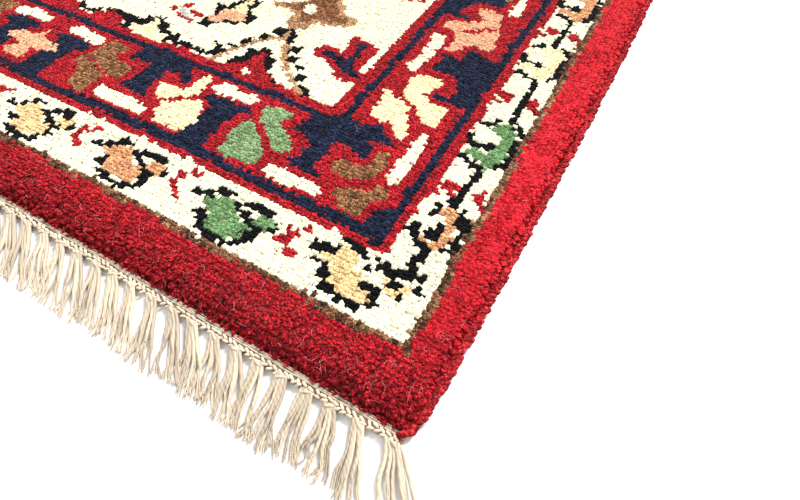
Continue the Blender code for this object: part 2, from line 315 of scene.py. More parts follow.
END_T_BLOCK = (
    ("navy", 0, ((-11.5, 14.5), (-11.2, 9), (-11.4, 6.6), (-7, 7.4), (-3.6, 8), (-3.4, 2), (-4, -1.5),
                 (-5, -3), (-1, -3.4), (5.5, -3.6), (5.8, -2.6), (3.2, -1), (3, 3), (3, 7.4), (7, 8.6),
                 (10.4, 5), (11.6, 7), (10.6, 9), (9, 10.5), (7.8, 13), (7.6, 14.5))),
    ("ivory", 0, ((-8.6, -7), (-7.6, -5.6), (8.4, -6), (10, -7.6), (9, -9.6), (-3.6, -9.8), (-8.2, -8.6))),
)
END_I_BLOCK = (
    ("navy", 0, ((-7.4, 4.4), (-5.8, 6.2), (6, 6.4), (7.4, 4.6), (5.4, 3.6), (4.6, 1), (4.6, -6),
                 (5.2, -10), (7, -12), (-5.4, -12), (-3.6, -10), (-3, -5), (-3, 1), (-3.4, 2.4), (-6, 3))),
    ("ivory", 0, ((-8.4, 8.4), (-7.2, 10), (-5.4, 11.2), (5, 11), (6.8, 9.4), (5.4, 7.6), (-3.6, 7.4),
                  (-6.4, 6.8))),
)
SIDE_BLOCK = (
    ("navy", 0, ((-28, 88.5), (-25, 87.6), (-20, 86.8), (-16.8, 87), (-16.8, 64.5), (-20, 64.5), (-24, 64),
                 (-29.5, 64.6), (-29.2, 65.8), (-24.5, 66), (-24, 70), (-25.5, 74), (-29, 75.8),
                 (-34, 75.2), (-34.5, 78), (-34, 81), (-34.5, 83.5), (-31, 83), (-29, 83), (-28.5, 86))),
    ("ivory", 0, ((-41.5, 91), (-38, 91.6), (-36.8, 90), (-37.5, 72.5), (-39, 71.6), (-41, 74),
                  (-40.3, 80), (-40.2, 85))),
)
SIDE_LEAF = (
    ("body", 0, ((-37, 70), (-36, 71.5), (-33.5, 72.2), (-29, 72.3), (-28.5, 70), (-29.5, 67), (-30, 64),
                 (-29, 63), (-24, 62.3), (-22, 61.5), (-22.5, 59.5), (-22.5, 55), (-24.5, 53.8), (-26, 55),
                 (-29, 57), (-31, 59.5), (-34, 60.5), (-36, 62), (-36.5, 65), (-37.5, 68))),
    ("body", 0, ((-41, 61.5), (-38, 61.5), (-37, 60.2), (-34, 59.3), (-32, 57.9), (-31, 55.4), (-29, 54),
                 (-28.5, 50), (-28, 47), (-29.5, 46), (-31, 48.5), (-34, 51), (-36, 50), (-39, 51),
                 (-40, 55), (-40, 59))),
    ("red", 1.2, ((-31.4, 64.6), (-29, 65.2))),
)
SIDE_STAR = (
    ("body", 0, ((-35, 110.5), (-31, 111.2), (-27, 110.5), (-26, 108.5), (-26, 104), (-25.5, 102.5),
                 (-23.5, 100.5), (-23, 97), (-22.5, 91), (-24.5, 89.5), (-27, 91.5), (-29, 90.5),
                 (-31, 88), (-31.5, 85.5), (-34.5, 85), (-35, 86), (-34, 88), (-34.5, 92), (-36, 95),
                 (-40, 96), (-40, 100), (-36, 101), (-33, 103), (-32, 106), (-35, 108))),
    ("red", 1.5, ((-34, 96.6), (-32, 96.8), (-29.4, 98.6), (-28.4, 100.6), (-26, 100.8))),
    ("red", 1.2, ((-32.6, 103.4), (-31.2, 104.6))),
)
RED_HALF_FLOWER = (
    ("black", 0, ((-81.1, 60.3), (-77.9, 60), (-77.2, 58.2), (-74.2, 58), (-74.6, 55.8), (-72, 50.6),
                  (-70, 50.4), (-68.8, 48), (-73, 47.6), (-83, 47.6), (-87.2, 48.6), (-86, 53.4),
                  (-84, 54.4), (-84.6, 57.6), (-82, 58.2))),
    ("red", 0, ((-80.8, 57.9), (-79.4, 58.8), (-78.2, 57.6), (-77.6, 55.3), (-75.5, 53.5), (-73.2, 51.2),
                (-71.4, 50), (-69.2, 47.6), (-89, 47.6), (-85.5, 49.6), (-83.2, 51.2), (-81.4, 53.5))),
    ("ivory", 0, ((-80.9, 50.2), (-77.1, 50.2), (-77.4, 48.6), (-79, 47.8), (-80.4, 48.8))),
)
TENT_VINE = (
    ("pale tan", 1.9, ((-80.2, 71), (-80, 67.4), (-83, 64.6), (-86, 60.6), (-87.2, 57.8), (-89.6, 55.6),
                       (-90.4, 52), (-92, 49.2))),
    ("pale tan", 1.9, ((-79.6, 68), (-76.6, 64.4), (-73.2, 59.2), (-70, 56.4), (-67, 52.6), (-63.6, 50.8),
                       (-61, 48.6))),
    ("black", 0, ((-96.4, 56), (-92.6, 55.2), (-90.8, 54.4), (-91, 52), (-92.5, 50.4), (-94.6, 51),
                  (-94.6, 53.5))),
    ("black", 0, ((-92.8, 58), (-89, 58.4), (-88.6, 56.8), (-91.6, 56.4))),
    ("black", 0, ((-89.8, 61.2), (-88, 62), (-86.6, 60.8), (-87.2, 59), (-89.2, 59))),
    ("black", 0, ((-87.4, 66), (-85, 66.6), (-83.6, 64.8), (-84.2, 63.2), (-86.8, 63))),
    ("black", 0, ((-84.4, 70.4), (-82, 71.8), (-80.3, 70.6), (-80.8, 67.6), (-83.6, 66.8), (-84.8, 68.2))),
    ("black", 0, ((-80.6, 73.2), (-78.6, 72.2), (-76.5, 70.6), (-75.9, 67), (-76.6, 66), (-78.4, 66.2),
                  (-78.6, 69), (-79.6, 71))),
    ("black", 0, ((-75.2, 65.8), (-72.4, 66.4), (-71.2, 64.4), (-72.2, 62.2), (-74.6, 62))),
    ("black", 0, ((-72.6, 61.8), (-70.4, 61.8), (-68.8, 58.6), (-70.4, 58), (-72.2, 59))),
    ("black", 0, ((-68, 58), (-65.6, 58), (-65.6, 56.2), (-67.4, 55.8))),
    ("black", 0, ((-66, 55), (-64.4, 55.8), (-62.2, 55.2), (-63, 51.8), (-65.4, 52.6))),
    ("black", 1.5, ((-62.4, 51), (-59.8, 50.8), (-58.6, 48.8))),
)
TAN_FLOWER = (
    ("pale tan", 0, ((-14.6, .4), (-8.8, 2.6), (-5.2, 6.6), (-3.4, 13), (0, 15.6), (3.4, 13.4), (5.6, 10.6),
                     (7.4, 9.4), (9.8, 4), (14.8, 4.5), (15.6, 1), (14.5, -.5), (11, -2.6), (4.8, -2.6),
                     (3.3, -5), (3.3, -8.5), (-.2, -9.6), (-3.2, -9), (-5, -4.4), (-5.5, -2.3),
                     (-10.8, -1.4), (-13, -2.3))),
    ("tan", 0, ((-11, .8), (-8, 2), (-4, 6), (-2, 11), (0, 13), (2.4, 11.4), (4, 8.4), (5.8, 7.4),
                (8.4, 3), (11.6, 3.2), (12.4, 1.2), (9.6, -.8), (3.2, -1.2), (1.4, -3.4), (.2, -5.8),
                (-1.4, -3.6), (-4, -.8), (-8.8, -.2))),
    ("ivory", 0, ((-4, 4.5), (-1, 4.5), (0, 2), (.5, 0), (-1, -1), (-3, 0), (-4.5, 3))),
)
NAVY_LEAF = (
    ("red", 0, ((-69.3, 68), (-66.7, 70.3), (-60.5, 69.7), (-60, 73), (-61.1, 74.1), (-61.4, 78),
                (-53.8, 77.7), (-51.1, 75.9), (-51.4, 70.6), (-52, 65.3), (-48.5, 64.1), (-48.5, 59.4),
                (-56.1, 59.4), (-59, 62.4), (-62.6, 64.1), (-67.6, 64.4), (-68.5, 66.5))),
    ("navy", 0, ((-66, 68.3), (-62, 68), (-58, 67.5), (-57, 70), (-57.5, 73), (-58.2, 76.2), (-55.4, 76.4),
                 (-54.8, 73), (-55.1, 70), (-54.8, 66), (-53, 64.7), (-49, 62.8), (-49.5, 61.4),
                 (-53, 62.3), (-56, 62.3), (-58, 64.1), (-62, 65.6), (-65.5, 66.4))),
)
FIELD_LEAF = (
    ("black", 0, ((-8.5, 3), (-5, 2), (-2.6, 7.6), (0, 9.6), (3.4, 10), (4, 6.6), (4.4, 2.6), (7.6, 3),
                  (8, .4), (7, -2.6), (4.8, -2.4), (4.2, -4), (.8, -5), (-2, -7.4), (-2.4, -9.4),
                  (-6.6, -9), (-7.2, -6.6), (-5.6, -4), (-6.6, -2.6), (-7, 0))),
    ("gold", 0, ((-.6, 9), (1.4, 8), (1, 6), (2.6, 3.6), (4.2, 2.4), (3.8, .8), (0, 1.4), (-2, 1.4),
                 (-1.5, 4), (-1.2, 7))),
    ("peach", 0, ((-5, -2.8), (-3.6, 1.4), (4, 1), (5, -1), (3, -3), (-.2, -4.4), (-1.6, -6), (-3, -7),
                  (-6.4, -6), (-7, -4.6), (-5, -3.6))),
)
RED_LEAF = (
    ("red", 0, ((-4, 4), (-1, 4.5), (-.5, 2), (-2.5, 1.5), (-4, 2.5))),
    ("red", 0, ((-6.5, 1), (-4.5, 1.3), (-3, -.5), (-4.5, -1.5), (-6, -.5))),
    ("red", 0, ((0, 1.8), (3, 1.5), (6.5, 1), (6.5, -1), (3, -.8), (1, .3))),
    ("red", 0, ((-3, -2), (1, -3.5), (6.5, -4), (5, -2.2), (2, -2.7), (-1, -1.5))),
    ("grey", 0, ((-3.5, 1.5), (-.5, 0), (3, -1.2), (3, -2), (-1, -1.7), (-3, 0))),
)
GOLD_HALF_LEAF = (
    ("black", 0, ((-123.6, 56.4), (-121.4, 56.6), (-120.8, 58.2), (-117.6, 58.4), (-117, 56.4),
                  (-114.4, 56.6), (-113.4, 54.2), (-110.8, 53.6), (-110, 52.6), (-107, 52.8),
                  (-106.8, 50.8), (-94.4, 50.8), (-94.4, 49.2), (-110.4, 48.8), (-121, 52),
                  (-126.4, 51.6), (-138.4, 52.6), (-138.4, 54.2), (-124, 54.4))),
    ("gold", 0, ((-126.2, 51.6), (-120.8, 52.4), (-119.6, 56.2), (-118, 56.2), (-116.6, 52.6),
                 (-111, 51.5), (-110.4, 47.8), (-120, 47.8), (-124.6, 49.6))),
    ("black", 0, ((-128.4, 51.8), (-126, 51.6), (-125, 49.6), (-126, 48.2), (-128.4, 48.4))),
    ("red", 0, ((-144, 48), (-141.6, 48.6), (-139.6, 51), (-136, 52.8), (-131, 52.6), (-128.8, 51),
                (-128, 47.6), (-144, 47.6))),
    ("black", 1.6, ((-143.6, 49.6), (-141, 50.4), (-139.8, 52.4))),
)


def linear(seen):
    """Blender's linear colour from a colour as seen."""
    return [((value / 255 + 0.055) / 1.055) ** 2.4 if value > 10 else value / 3294 for value in seen]


# The chart
def wavering(place, lengths):
    """How far a colour's edge wavers at a place along it."""
    quick, slow = lengths
    return EDGE_WAVER * np.sin(place / quick + 2 * np.sin(place / slow))


def quarter_places(rng):
    """Each knot's place in the drawn quarter, moved a little, which frays and wavers the colours' edges."""
    column = np.arange(KNOTS_ACROSS) - CORNER_COLUMN
    row = np.arange(KNOTS_ALONG) - CORNER_ROW
    x, y = np.meshgrid(MIDDLE_X + np.abs(column - MIDDLE_X), MIDDLE_Y - np.abs(row - MIDDLE_Y))
    moved_x = x + wavering(y, WAVER_ALONG) + rng.uniform(-EDGE_STRAY, EDGE_STRAY, x.shape)
    moved_y = y + wavering(x, WAVER_ACROSS) + rng.uniform(-EDGE_STRAY, EDGE_STRAY, y.shape)
    return moved_x, moved_y


def within(outline, x, y):
    """Which of the places lie inside the outline."""
    inside = np.zeros(x.shape, bool)
    for (x0, y0), (x1, y1) in zip(outline, outline[1:] + outline[:1]):
        if y0 == y1:
            continue
        crosses = ((y0 > y) != (y1 > y)) & (x < (x1 - x0) * (y - y0) / (y1 - y0) + x0)
        inside ^= crosses
    return inside


def along_line(points, width, x, y):
    """Which of the places lie on a line of that width."""
    near = np.zeros(x.shape, bool)
    for (x0, y0), (x1, y1) in zip(points, points[1:]):
        run_x, run_y = x1 - x0, y1 - y0
        share = ((x - x0) * run_x + (y - y0) * run_y) / max(run_x ** 2 + run_y ** 2, 1e-9)
        share = np.clip(share, 0, 1)
        near |= np.hypot(x - x0 - share * run_x, y - y0 - share * run_y) < width / 2
    return near


class Chart:
    """Which yarn each knot is tied in."""

    def __init__(self, rng):
        self.x, self.y = quarter_places(rng)
        self.yarn = np.full(self.x.shape, YARN_NAMES.index("red"))

    def nest_frames(self):
        for yarn, from_side, from_end in FRAMES:
            inside = (self.x < -from_side) & (self.y > from_end)
            self.yarn[inside] = YARN_NAMES.index(yarn)

    def draw(self, motif, at=(0, 0), yarns=None, mirror_x=False):
        """Draws a motif's areas and lines about a place, in the yarns given for its own named parts."""
        across = -1 if mirror_x else 1
        for part, width, places in motif:
            placed = [(at[0] + across * px, at[1] + py) for px, py in places]
            low_x, low_y = np.min(placed, axis=0) - width
            high_x, high_y = np.max(placed, axis=0) + width
            near = (self.x > low_x) & (self.x < high_x) & (self.y > low_y) & (self.y < high_y)
            if width:
                drawn = along_line(placed, width, self.x[near], self.y[near])
            else:
                drawn = within(placed, self.x[near], self.y[near])
            chosen = np.flatnonzero(near)[drawn]
            self.yarn.flat[chosen] = YARN_NAMES.index((yarns or {}).get(part, part))


def one(yarn):
    """The same yarn for every part of a motif that has no yarn of its own."""
    return {"body": yarn, "bud": yarn}


def draw_guard(chart):
    """The ivory guard: flowers and buds along the ends, leaves on a stem along the sides."""
    flowers = (
        # place along the end, yarn
        (-49.0, "leaf green"),
        (-81.0, "apricot"),
        (-113.4, "deep gold"),
        (-145.8, "leaf green"),
    )
    for x, yarn in flowers:
        chart.draw(GUARD_BUD, (x + GUARD_BUD_BESIDE, GUARD_BUD_ROW))
        chart.draw(GUARD_FLOWER, (x, GUARD_FLOWER_ROW), one(yarn))
    leaves = (
        # place along the side, leaf, yarn
        (27.0, C_LEAF, "apricot"),
        (55.5, LONG_LEAF, "leaf green"),
        (93.0, LONG_LEAF, "gold"),
        (126.0, LONG_LEAF, "apricot"),
        (164.0, LONG_LEAF, "leaf green"),
        (202.0, LONG_LEAF, "gold"),
        (241.0, LONG_LEAF, "apricot"),
    )
    chart.draw(GUARD_STEM)
    for y, leaf, yarn in leaves:
        chart.draw(LEAF_POCKET, (GUARD_LEAF_COLUMN, y))
        chart.draw(leaf, (GUARD_LEAF_COLUMN, y), one(yarn))
    for y in (38.8, 74.6, 109.4, 145.0, 183.0, 221.5):
        chart.draw(BUD_PAIR, (GUARD_BUD_COLUMN, y))
    chart.draw(CORNER_FLOWER)


def draw_main_border(chart):
    """The red main border: two-lobed leaves parted by navy blocks and short ivory bars."""
    chart.draw(CORNER_LEAF)
    chart.draw(IVORY_BAR)
    along_end = (
        # motif, place along the end, yarn, mirrored across
        (END_T_BLOCK, -101, "navy", False),
        (END_I_BLOCK, -74.4, "navy", False),
        (END_I_BLOCK, -132.6, "navy", True),
        (GREEN_LEAF, -58.5, "green", False),
        (GOLD_LEAF, -87, "gold", False),
        (BROWN_LEAF, -115.5, "brown", False),
        (PEACH_STAR, -144, "peach", False),
    )
    for motif, x, yarn, mirror_x in along_end:
        chart.draw(motif, (x, BORDER_ROW), one(yarn), mirror_x)
    for turn, (leaf_yarn, star_yarn) in enumerate(SIDE_TURNS):
        up = SIDE_PITCH * turn
        chart.draw(SIDE_LEAF, (0, up), one(leaf_yarn))
        chart.draw(SIDE_BLOCK, (0, up))
        chart.draw(SIDE_BLOCK, (FACING_BLOCK[0], up + FACING_BLOCK[1]), mirror_x=True)
        chart.draw(SIDE_STAR, (0, up), one(star_yarn))


def draw_field(chart):
    """The ivory field: half flowers on its edge, flowers under tents of vine, and leaves between."""
    chart.draw(GOLD_HALF_LEAF)
    chart.draw(TENT_VINE)
    chart.draw(RED_HALF_FLOWER)
    flowers = (
        # place, mirrored across
        ((-80, 82), False),
        ((-144, 82), False),
        ((-118, 122), True),
        ((-80, 160), True),
        ((-144, 164), False),
        ((-118, 202), False),
        ((-80, 241), False),
        ((-144, 241), False),
    )
    for place, mirror_x in flowers:
        chart.draw(TAN_FLOWER, place, mirror_x=mirror_x)
    leaves = (
        # place, mirrored across
        ((-101, 70), False),
        ((-72, 112), True),
        ((-104, 150), False),
        ((-70, 196), True),
        ((-106, 229), False),
        ((-130, 184), False),
    )
    for (x, y), mirror_x in leaves:
        chart.draw(FIELD_LEAF, (x, y), mirror_x=mirror_x)
        beside = RED_LEAF_BESIDE if mirror_x else -RED_LEAF_BESIDE
        chart.draw(RED_LEAF, (x + beside, y - RED_LEAF_BELOW), mirror_x=mirror_x)
    for turn in range(len(SIDE_TURNS)):
        chart.draw(NAVY_LEAF, (0, SIDE_PITCH * turn))
    vines = (
        ((-80, 98), (-84, 104), (-92, 108), (-98, 113), (-104, 119)),
        ((-80, 98), (-76, 102), (-73, 105)),
        ((-118, 138), (-122, 144), (-130, 150), (-134, 158)),
        ((-96, 126), (-90, 132), (-84, 140), (-80, 150)),
        ((-80, 177), (-82, 184), (-79, 190)),
        ((-88, 176), (-96, 184), (-102, 196)),
        ((-112, 218), (-110, 222)),
        ((-96, 232), (-93, 238)),
        ((-134, 98), (-130, 106), (-128, 112)),
    )
    chart.draw([("black", VINE_WIDTH, places) for places in vines])


def drawn_chart(rng):
    """The yarn of every knot, by its number in the list of yarns."""
    chart = Chart(rng)
    chart.nest_frames()
    draw_guard(chart)
    draw_main_border(chart)
    draw_field(chart)
    return chart.yarn


# Where things lie
def read_off(table, place):
    """What a table of places and values gives at a place, or at many."""
    return np.interp(place, *zip(*table))


def wave(kind, place):
    """How far an edge or the top waves at a place."""
    height, length, phase = WAVES[kind]
    return height * np.sin(2 * math.pi * place / length + phase)


def as_it_lies(x, y):
    """Where places on the straight-sided plan come to lie."""
    in_outer_band = np.maximum(np.abs(x) - INNER_HALF_WIDTH, 0) / (PILE_HALF_WIDTH - INNER_HALF_WIDTH)
    drawn_in = read_off(DRAWN_IN, PILE_HALF_LENGTH - np.abs(y))
    outward = (wave("side", y) - drawn_in) * in_outer_band
    return x + outward * np.sign(x), y * (1 + wave("end", x) / PILE_HALF_LENGTH)


def pile_height(x, y):
    """The carpet's top over places on its straight-sided plan."""
    from_side = read_off(SIDE_ROUNDING, PILE_HALF_WIDTH - np.abs(x))
    from_end = read_off(END_ROUNDING, PILE_HALF_LENGTH - np.abs(y))
    lowest = np.minimum(from_side, from_end)
    rolling = TOP_ROLL * wave("top across", x) * wave("top along", y)
    return np.where(lowest >= PILE_TOP, lowest + rolling, lowest)


def lowest_height(x, y, shift):
    """The pile's height without its slow rolling, read that much nearer to the edge."""
    from_side = read_off(SIDE_ROUNDING, PILE_HALF_WIDTH - np.abs(x) - shift)
    from_end = read_off(END_ROUNDING, PILE_HALF_LENGTH - np.abs(y) - shift)
    return np.minimum(from_side, from_end)


def end_line(x, end, out):
    """Places along one end, that far out from the carpet's edge."""
    _, edge_y = as_it_lies(x, np.full_like(x, PILE_HALF_LENGTH))
    return end * (edge_y + GAP + out)


# Meshes
def new_piece(name, places, edges=(), faces=()):
    """An object at the origin with a mesh of those places."""
    mesh = bpy.data.meshes.new(name)
    mesh.from_pydata([tuple(place) for place in places], edges, faces)
    mesh.update()
    piece = bpy.data.objects.new(name, mesh)
    bpy.context.scene.collection.objects.link(piece)
    return piece


def set_attribute(piece, name, kind, domain, values):
    """Stores a value for each point or corner, as 'value', 'vector' or 'color'."""
    attribute = piece.data.attributes.new(name, kind, domain)
    field = {"FLOAT": "value", "FLOAT_VECTOR": "vector", "FLOAT_COLOR": "color"}[kind]
    attribute.data.foreach_set(field, np.asarray(values, np.float32).ravel())


def loft(name, rings):
    """A closed bar through rings of places, capped at both ends."""
    stations, around = rings.shape[:2]
    faces = [(s * around + a, s * around + (a + 1) % around,
              (s + 1) * around + (a + 1) % around, (s + 1) * around + a)
             for s in range(stations - 1) for a in range(around)]
    faces.append(tuple(reversed(range(around))))
    faces.append(tuple((stations - 1) * around + a for a in range(around)))
    piece = new_piece(name, rings.reshape(-1, 3), faces=faces)
    outwards(piece)
    return piece


def outwards(piece):
    """Turns a closed mesh's faces out."""
    builder = bmesh.new()
    builder.from_mesh(piece.data)
    bmesh.ops.recalc_face_normals(builder, faces=builder.faces)
    builder.to_mesh(piece.data)
    builder.free()


def lines_piece(name, lines):
    """Loose lines of points, each line with its radii and its shade, ready to be grown into yarns."""
    places = []
    edges = []
    radii = []
    shades = []
    for points, thickness, shade in lines:
        first = len(places)
        places.extend(points)
        edges.extend((first + n, first + n + 1) for n in range(len(points) - 1))
        radii.extend(thickness)
        shades.extend([shade] * len(points))
    piece = new_piece(name, places, edges=edges)
    set_attribute(piece, "thickness", "FLOAT", "POINT", radii)
    set_attribute(piece, "shade", "FLOAT", "POINT", shades)
    return piece


# Geometry Nodes
def add_node(tree, kind, settings=None, inputs=None):
    """A node with its settings, and its inputs set or linked by name or number."""
    node = tree.nodes.new(kind)
    for name, value in (settings or {}).items():
        setattr(node, name, value)
    for name, value in (inputs or {}).items():
        if isinstance(value, bpy.types.NodeSocket):
            tree.links.new(value, node.inputs[name])
        else:
            node.inputs[name].default_value = value
    return node


def new_tree(name, inputs):
    """A geometry tree that takes and gives a mesh, with the named inputs for its sizes."""
    tree = bpy.data.node_groups.new(name, "GeometryNodeTree")
    tree.interface.new_socket("Geometry", in_out="INPUT", socket_type="NodeSocketGeometry")
    for label, kind in inputs:
        tree.interface.new_socket(label, in_out="INPUT", socket_type="NodeSocket" + kind)
    tree.interface.new_socket("Geometry", in_out="OUTPUT", socket_type="NodeSocketGeometry")
    return tree, tree.nodes.new("NodeGroupInput")


def end_tree(tree, entry, shape):
    """Closes a tree: instances realized, and the material set."""
    realized = add_node(tree, "GeometryNodeRealizeInstances", inputs={"Geometry": shape})
    finished = add_node(tree, "GeometryNodeSetMaterial",
                        inputs={"Geometry": realized.outputs[0], "Material": entry.outputs["Material"]})
    leave = tree.nodes.new("NodeGroupOutput")
    tree.links.new(finished.outputs[0], leave.inputs[0])
    return tree


def named(tree, name, kind):
    """A value stored for each point, by its name."""
    node = add_node(tree, "GeometryNodeInputNamedAttribute", {"data_type": kind}, {"Name": name})
    return node.outputs["Attribute"]


def grown(piece, tree, values):
    """Runs the tree on the piece and keeps what it makes as a plain mesh."""
    modifier = piece.modifiers.new(tree.name, "NODES")
    modifier.node_group = tree
    for item in tree.interface.items_tree:
        if item.in_out == "INPUT" and item.name in values:
            modifier[item.identifier] = values[item.name]
    piece.update_tag()
    shown = piece.evaluated_get(bpy.context.evaluated_depsgraph_get())
    made = bpy.data.meshes.new_from_object(shown)
    piece.modifiers.remove(modifier)
    raw = piece.data
    piece.data = made
    bpy.data.meshes.remove(raw)
    made.name = piece.name
    return piece


PRESSED_FLAT = 0.05                 # what is left of a depth below the floor, as a height above it


def kept_above_floor(piece):
    """Presses flat on the floor what would pass into it."""
    places = np.empty(3 * len(piece.data.vertices), np.float32)
    piece.data.vertices.foreach_get("co", places)
    height = places[2::3]
    places[2::3] = np.where(height < 0, -PRESSED_FLAT * height, height)
    piece.data.vertices.foreach_set("co", places)
    piece.data.update()


def tuft_tree():
    """A pointed tuft at each knot, its tip on the knot's point, as wide and deep as the knot says."""
    tree, entry = new_tree("knotted_tufts", [("Material", "Material"), ("Sides", "Int")])
    cone = add_node(tree, "GeometryNodeMeshCone", {"fill_type": "NONE"},
                    {"Vertices": entry.outputs["Sides"], "Side Segments": 1, "Radius Top": 0.0,
                     "Radius Bottom": 1.0, "Depth": 1.0})
    # The tip mark, from which the pile's material paints shade down each tuft
    marked = add_node(tree, "GeometryNodeStoreNamedAttribute", {"data_type": "FLOAT", "domain": "POINT"},
                      {"Geometry": cone.outputs["Mesh"], "Name": "tip", "Value": cone.outputs["Top"]})
    hung = add_node(tree, "GeometryNodeTransform",
                    inputs={"Geometry": marked.outputs[0], "Translation": (0.0, 0.0, -1.0),
                            "Rotation": (0.0, 0.0, math.radians(45))})
    turn = add_node(tree, "FunctionNodeEulerToRotation",
                    inputs={"Euler": named(tree, "tilt", "FLOAT_VECTOR")})
    tufts = add_node(tree, "GeometryNodeInstanceOnPoints",
                     inputs={"Points": entry.outputs["Geometry"], "Instance": hung.outputs[0],
                             "Rotation": turn.outputs[0], "Scale": named(tree, "size", "FLOAT_VECTOR")})
    return end_tree(tree, entry, tufts.outputs[0])


def yarn_tree():
    """Round yarns along loose lines, each point as thick as it says."""
    tree, entry = new_tree("yarns_on_lines", [("Material", "Material"), ("Sides", "Int")])
    curve = add_node(tree, "GeometryNodeMeshToCurve", inputs={"Mesh": entry.outputs["Geometry"]})
    ring = add_node(tree, "GeometryNodeCurvePrimitiveCircle", {"mode": "RADIUS"},
                    {"Resolution": entry.outputs["Sides"], "Radius": 1.0})
    tube = add_node(tree, "GeometryNodeCurveToMesh",
                    inputs={"Curve": curve.outputs[0], "Profile Curve": ring.outputs[0],
                            "Scale": named(tree, "thickness", "FLOAT"), "Fill Caps": True})
    smooth = add_node(tree, "GeometryNodeSetShadeSmooth", inputs={"Geometry": tube.outputs[0]})
    return end_tree(tree, entry, smooth.outputs[0])


TURN_ARC = (185, -255)              # degrees: where a turn starts, and how far it goes round
TURN_STRAY = ((-0.10, -0.22, -0.50), (0.10, 0.22, 0.36))
TURN_SWELL = ((0.98, 0.9, 0.90), (1.10, 1.4, 1.06))
TURN_SHADES = (0.74, 1.26)


def turns_tree():
    """Turns of wool round an edge cord, one after another along its line."""
    tree, entry = new_tree("overcast_turns", [
        ("Material", "Material"), ("Spacing", "Float"), ("Yarn radius", "Float"), ("Turn size", "Vector"),
        ("Slant", "Vector"), ("Seed", "Int")])
    curve = add_node(tree, "GeometryNodeMeshToCurve", inputs={"Mesh": entry.outputs["Geometry"]})
    stations = add_node(tree, "GeometryNodeResampleCurve", {"mode": "LENGTH"},
                        {"Curve": curve.outputs[0], "Length": entry.outputs["Spacing"]})
    arc = add_node(tree, "GeometryNodeCurveArc", {"mode": "RADIUS"},
                   {"Resolution": 7, "Radius": 1.0, "Start Angle": math.radians(TURN_ARC[0]),
                    "Sweep Angle": math.radians(TURN_ARC[1])})
    upright = add_node(tree, "GeometryNodeTransform",
                       inputs={"Geometry": arc.outputs[0], "Rotation": (math.radians(90), 0.0, 0.0)})
    sized = add_node(tree, "GeometryNodeTransform",
                     inputs={"Geometry": upright.outputs[0], "Scale": entry.outputs["Turn size"]})
    ring = add_node(tree, "GeometryNodeCurvePrimitiveCircle", {"mode": "RADIUS"},
                    {"Resolution": 5, "Radius": entry.outputs["Yarn radius"]})
    turn = add_node(tree, "GeometryNodeCurveToMesh",
                    inputs={"Curve": sized.outputs[0], "Profile Curve": ring.outputs[0], "Fill Caps": True})
    stray = add_node(tree, "FunctionNodeRandomValue", {"data_type": "FLOAT_VECTOR"},
                     {"Min": TURN_STRAY[0], "Max": TURN_STRAY[1], "Seed": entry.outputs["Seed"]})
    lean = add_node(tree, "ShaderNodeVectorMath", {"operation": "ADD"},
                    {0: entry.outputs["Slant"], 1: stray.outputs[0]})
    rotation = add_node(tree, "FunctionNodeEulerToRotation", inputs={"Euler": lean.outputs[0]})
    swell = add_node(tree, "FunctionNodeRandomValue", {"data_type": "FLOAT_VECTOR"},
                     {"Min": TURN_SWELL[0], "Max": TURN_SWELL[1], "Seed": entry.outputs["Seed"]})
    turns = add_node(tree, "GeometryNodeInstanceOnPoints",
                     inputs={"Points": stations.outputs[0], "Instance": turn.outputs[0],
                             "Rotation": rotation.outputs[0], "Scale": swell.outputs[0]})
    shade = add_node(tree, "FunctionNodeRandomValue", {"data_type": "FLOAT"},
                     {2: TURN_SHADES[0], 3: TURN_SHADES[1], "Seed": entry.outputs["Seed"]})
    tinted = add_node(tree, "GeometryNodeStoreNamedAttribute", {"data_type": "FLOAT", "domain": "INSTANCE"},
                      {"Geometry": turns.outputs[0], "Name": "shade", "Value": shade.outputs[1]})
    smooth = add_node(tree, "GeometryNodeSetShadeSmooth", inputs={"Geometry": tinted.outputs[0]})
    return end_tree(tree, entry, smooth.outputs[0])


def stitches_tree():
    """Plump slanting stitches, one at each point of the mesh, turned as the point says."""
    tree, entry = new_tree("chain_stitches", [("Material", "Material"), ("Stitch size", "Vector")])
    ball = add_node(tree, "GeometryNodeMeshUVSphere", inputs={"Segments": 6, "Rings": 4, "Radius": 0.5})
    stitch = add_node(tree, "GeometryNodeTransform",
                      inputs={"Geometry": ball.outputs["Mesh"], "Scale": entry.outputs["Stitch size"]})
    turn = add_node(tree, "FunctionNodeEulerToRotation",
                    inputs={"Euler": named(tree, "tilt", "FLOAT_VECTOR")})
    stitches = add_node(tree, "GeometryNodeInstanceOnPoints",
                        inputs={"Points": entry.outputs["Geometry"], "Instance": stitch.outputs[0],
                                "Rotation": turn.outputs[0]})
    smooth = add_node(tree, "GeometryNodeSetShadeSmooth", inputs={"Geometry": stitches.outputs[0]})
    return end_tree(tree, entry, smooth.outputs[0])


# Materials
# The overcasting's red wool, made lighter than the pile's red as painted light, as its outer side faces away
# from the key lamp
OVERCAST_RED_WITH_PAINTED_LIGHT = (230, 54, 60)
LOOSE_HAIR = (238, 168, 164)
COTTONS = {
    # colour in the light, plies a metre, depth of the grooves between them
    "weft_cotton": ((224, 202, 180), 190.0, 0.0003),
    "cream_cotton": ((202, 185, 162), 150.0, 0.00016),
}


def new_group(name, inputs, outputs):
    """A shader node group with named inputs and outputs."""
    group = bpy.data.node_groups.new(name, "ShaderNodeTree")
    for label, kind in inputs:
        group.interface.new_socket(label, in_out="INPUT", socket_type="NodeSocket" + kind)
    for label, kind in outputs:
        group.interface.new_socket(label, in_out="OUTPUT", socket_type="NodeSocket" + kind)
    return group, group.nodes.new("NodeGroupInput"), group.nodes.new("NodeGroupOutput")


def object_place(tree):
    return tree.nodes.new("ShaderNodeTexCoord").outputs["Object"]


def product(tree, first, second):
    return add_node(tree, "ShaderNodeMath", {"operation": "MULTIPLY"}, {0: first, 1: second}).outputs[0]


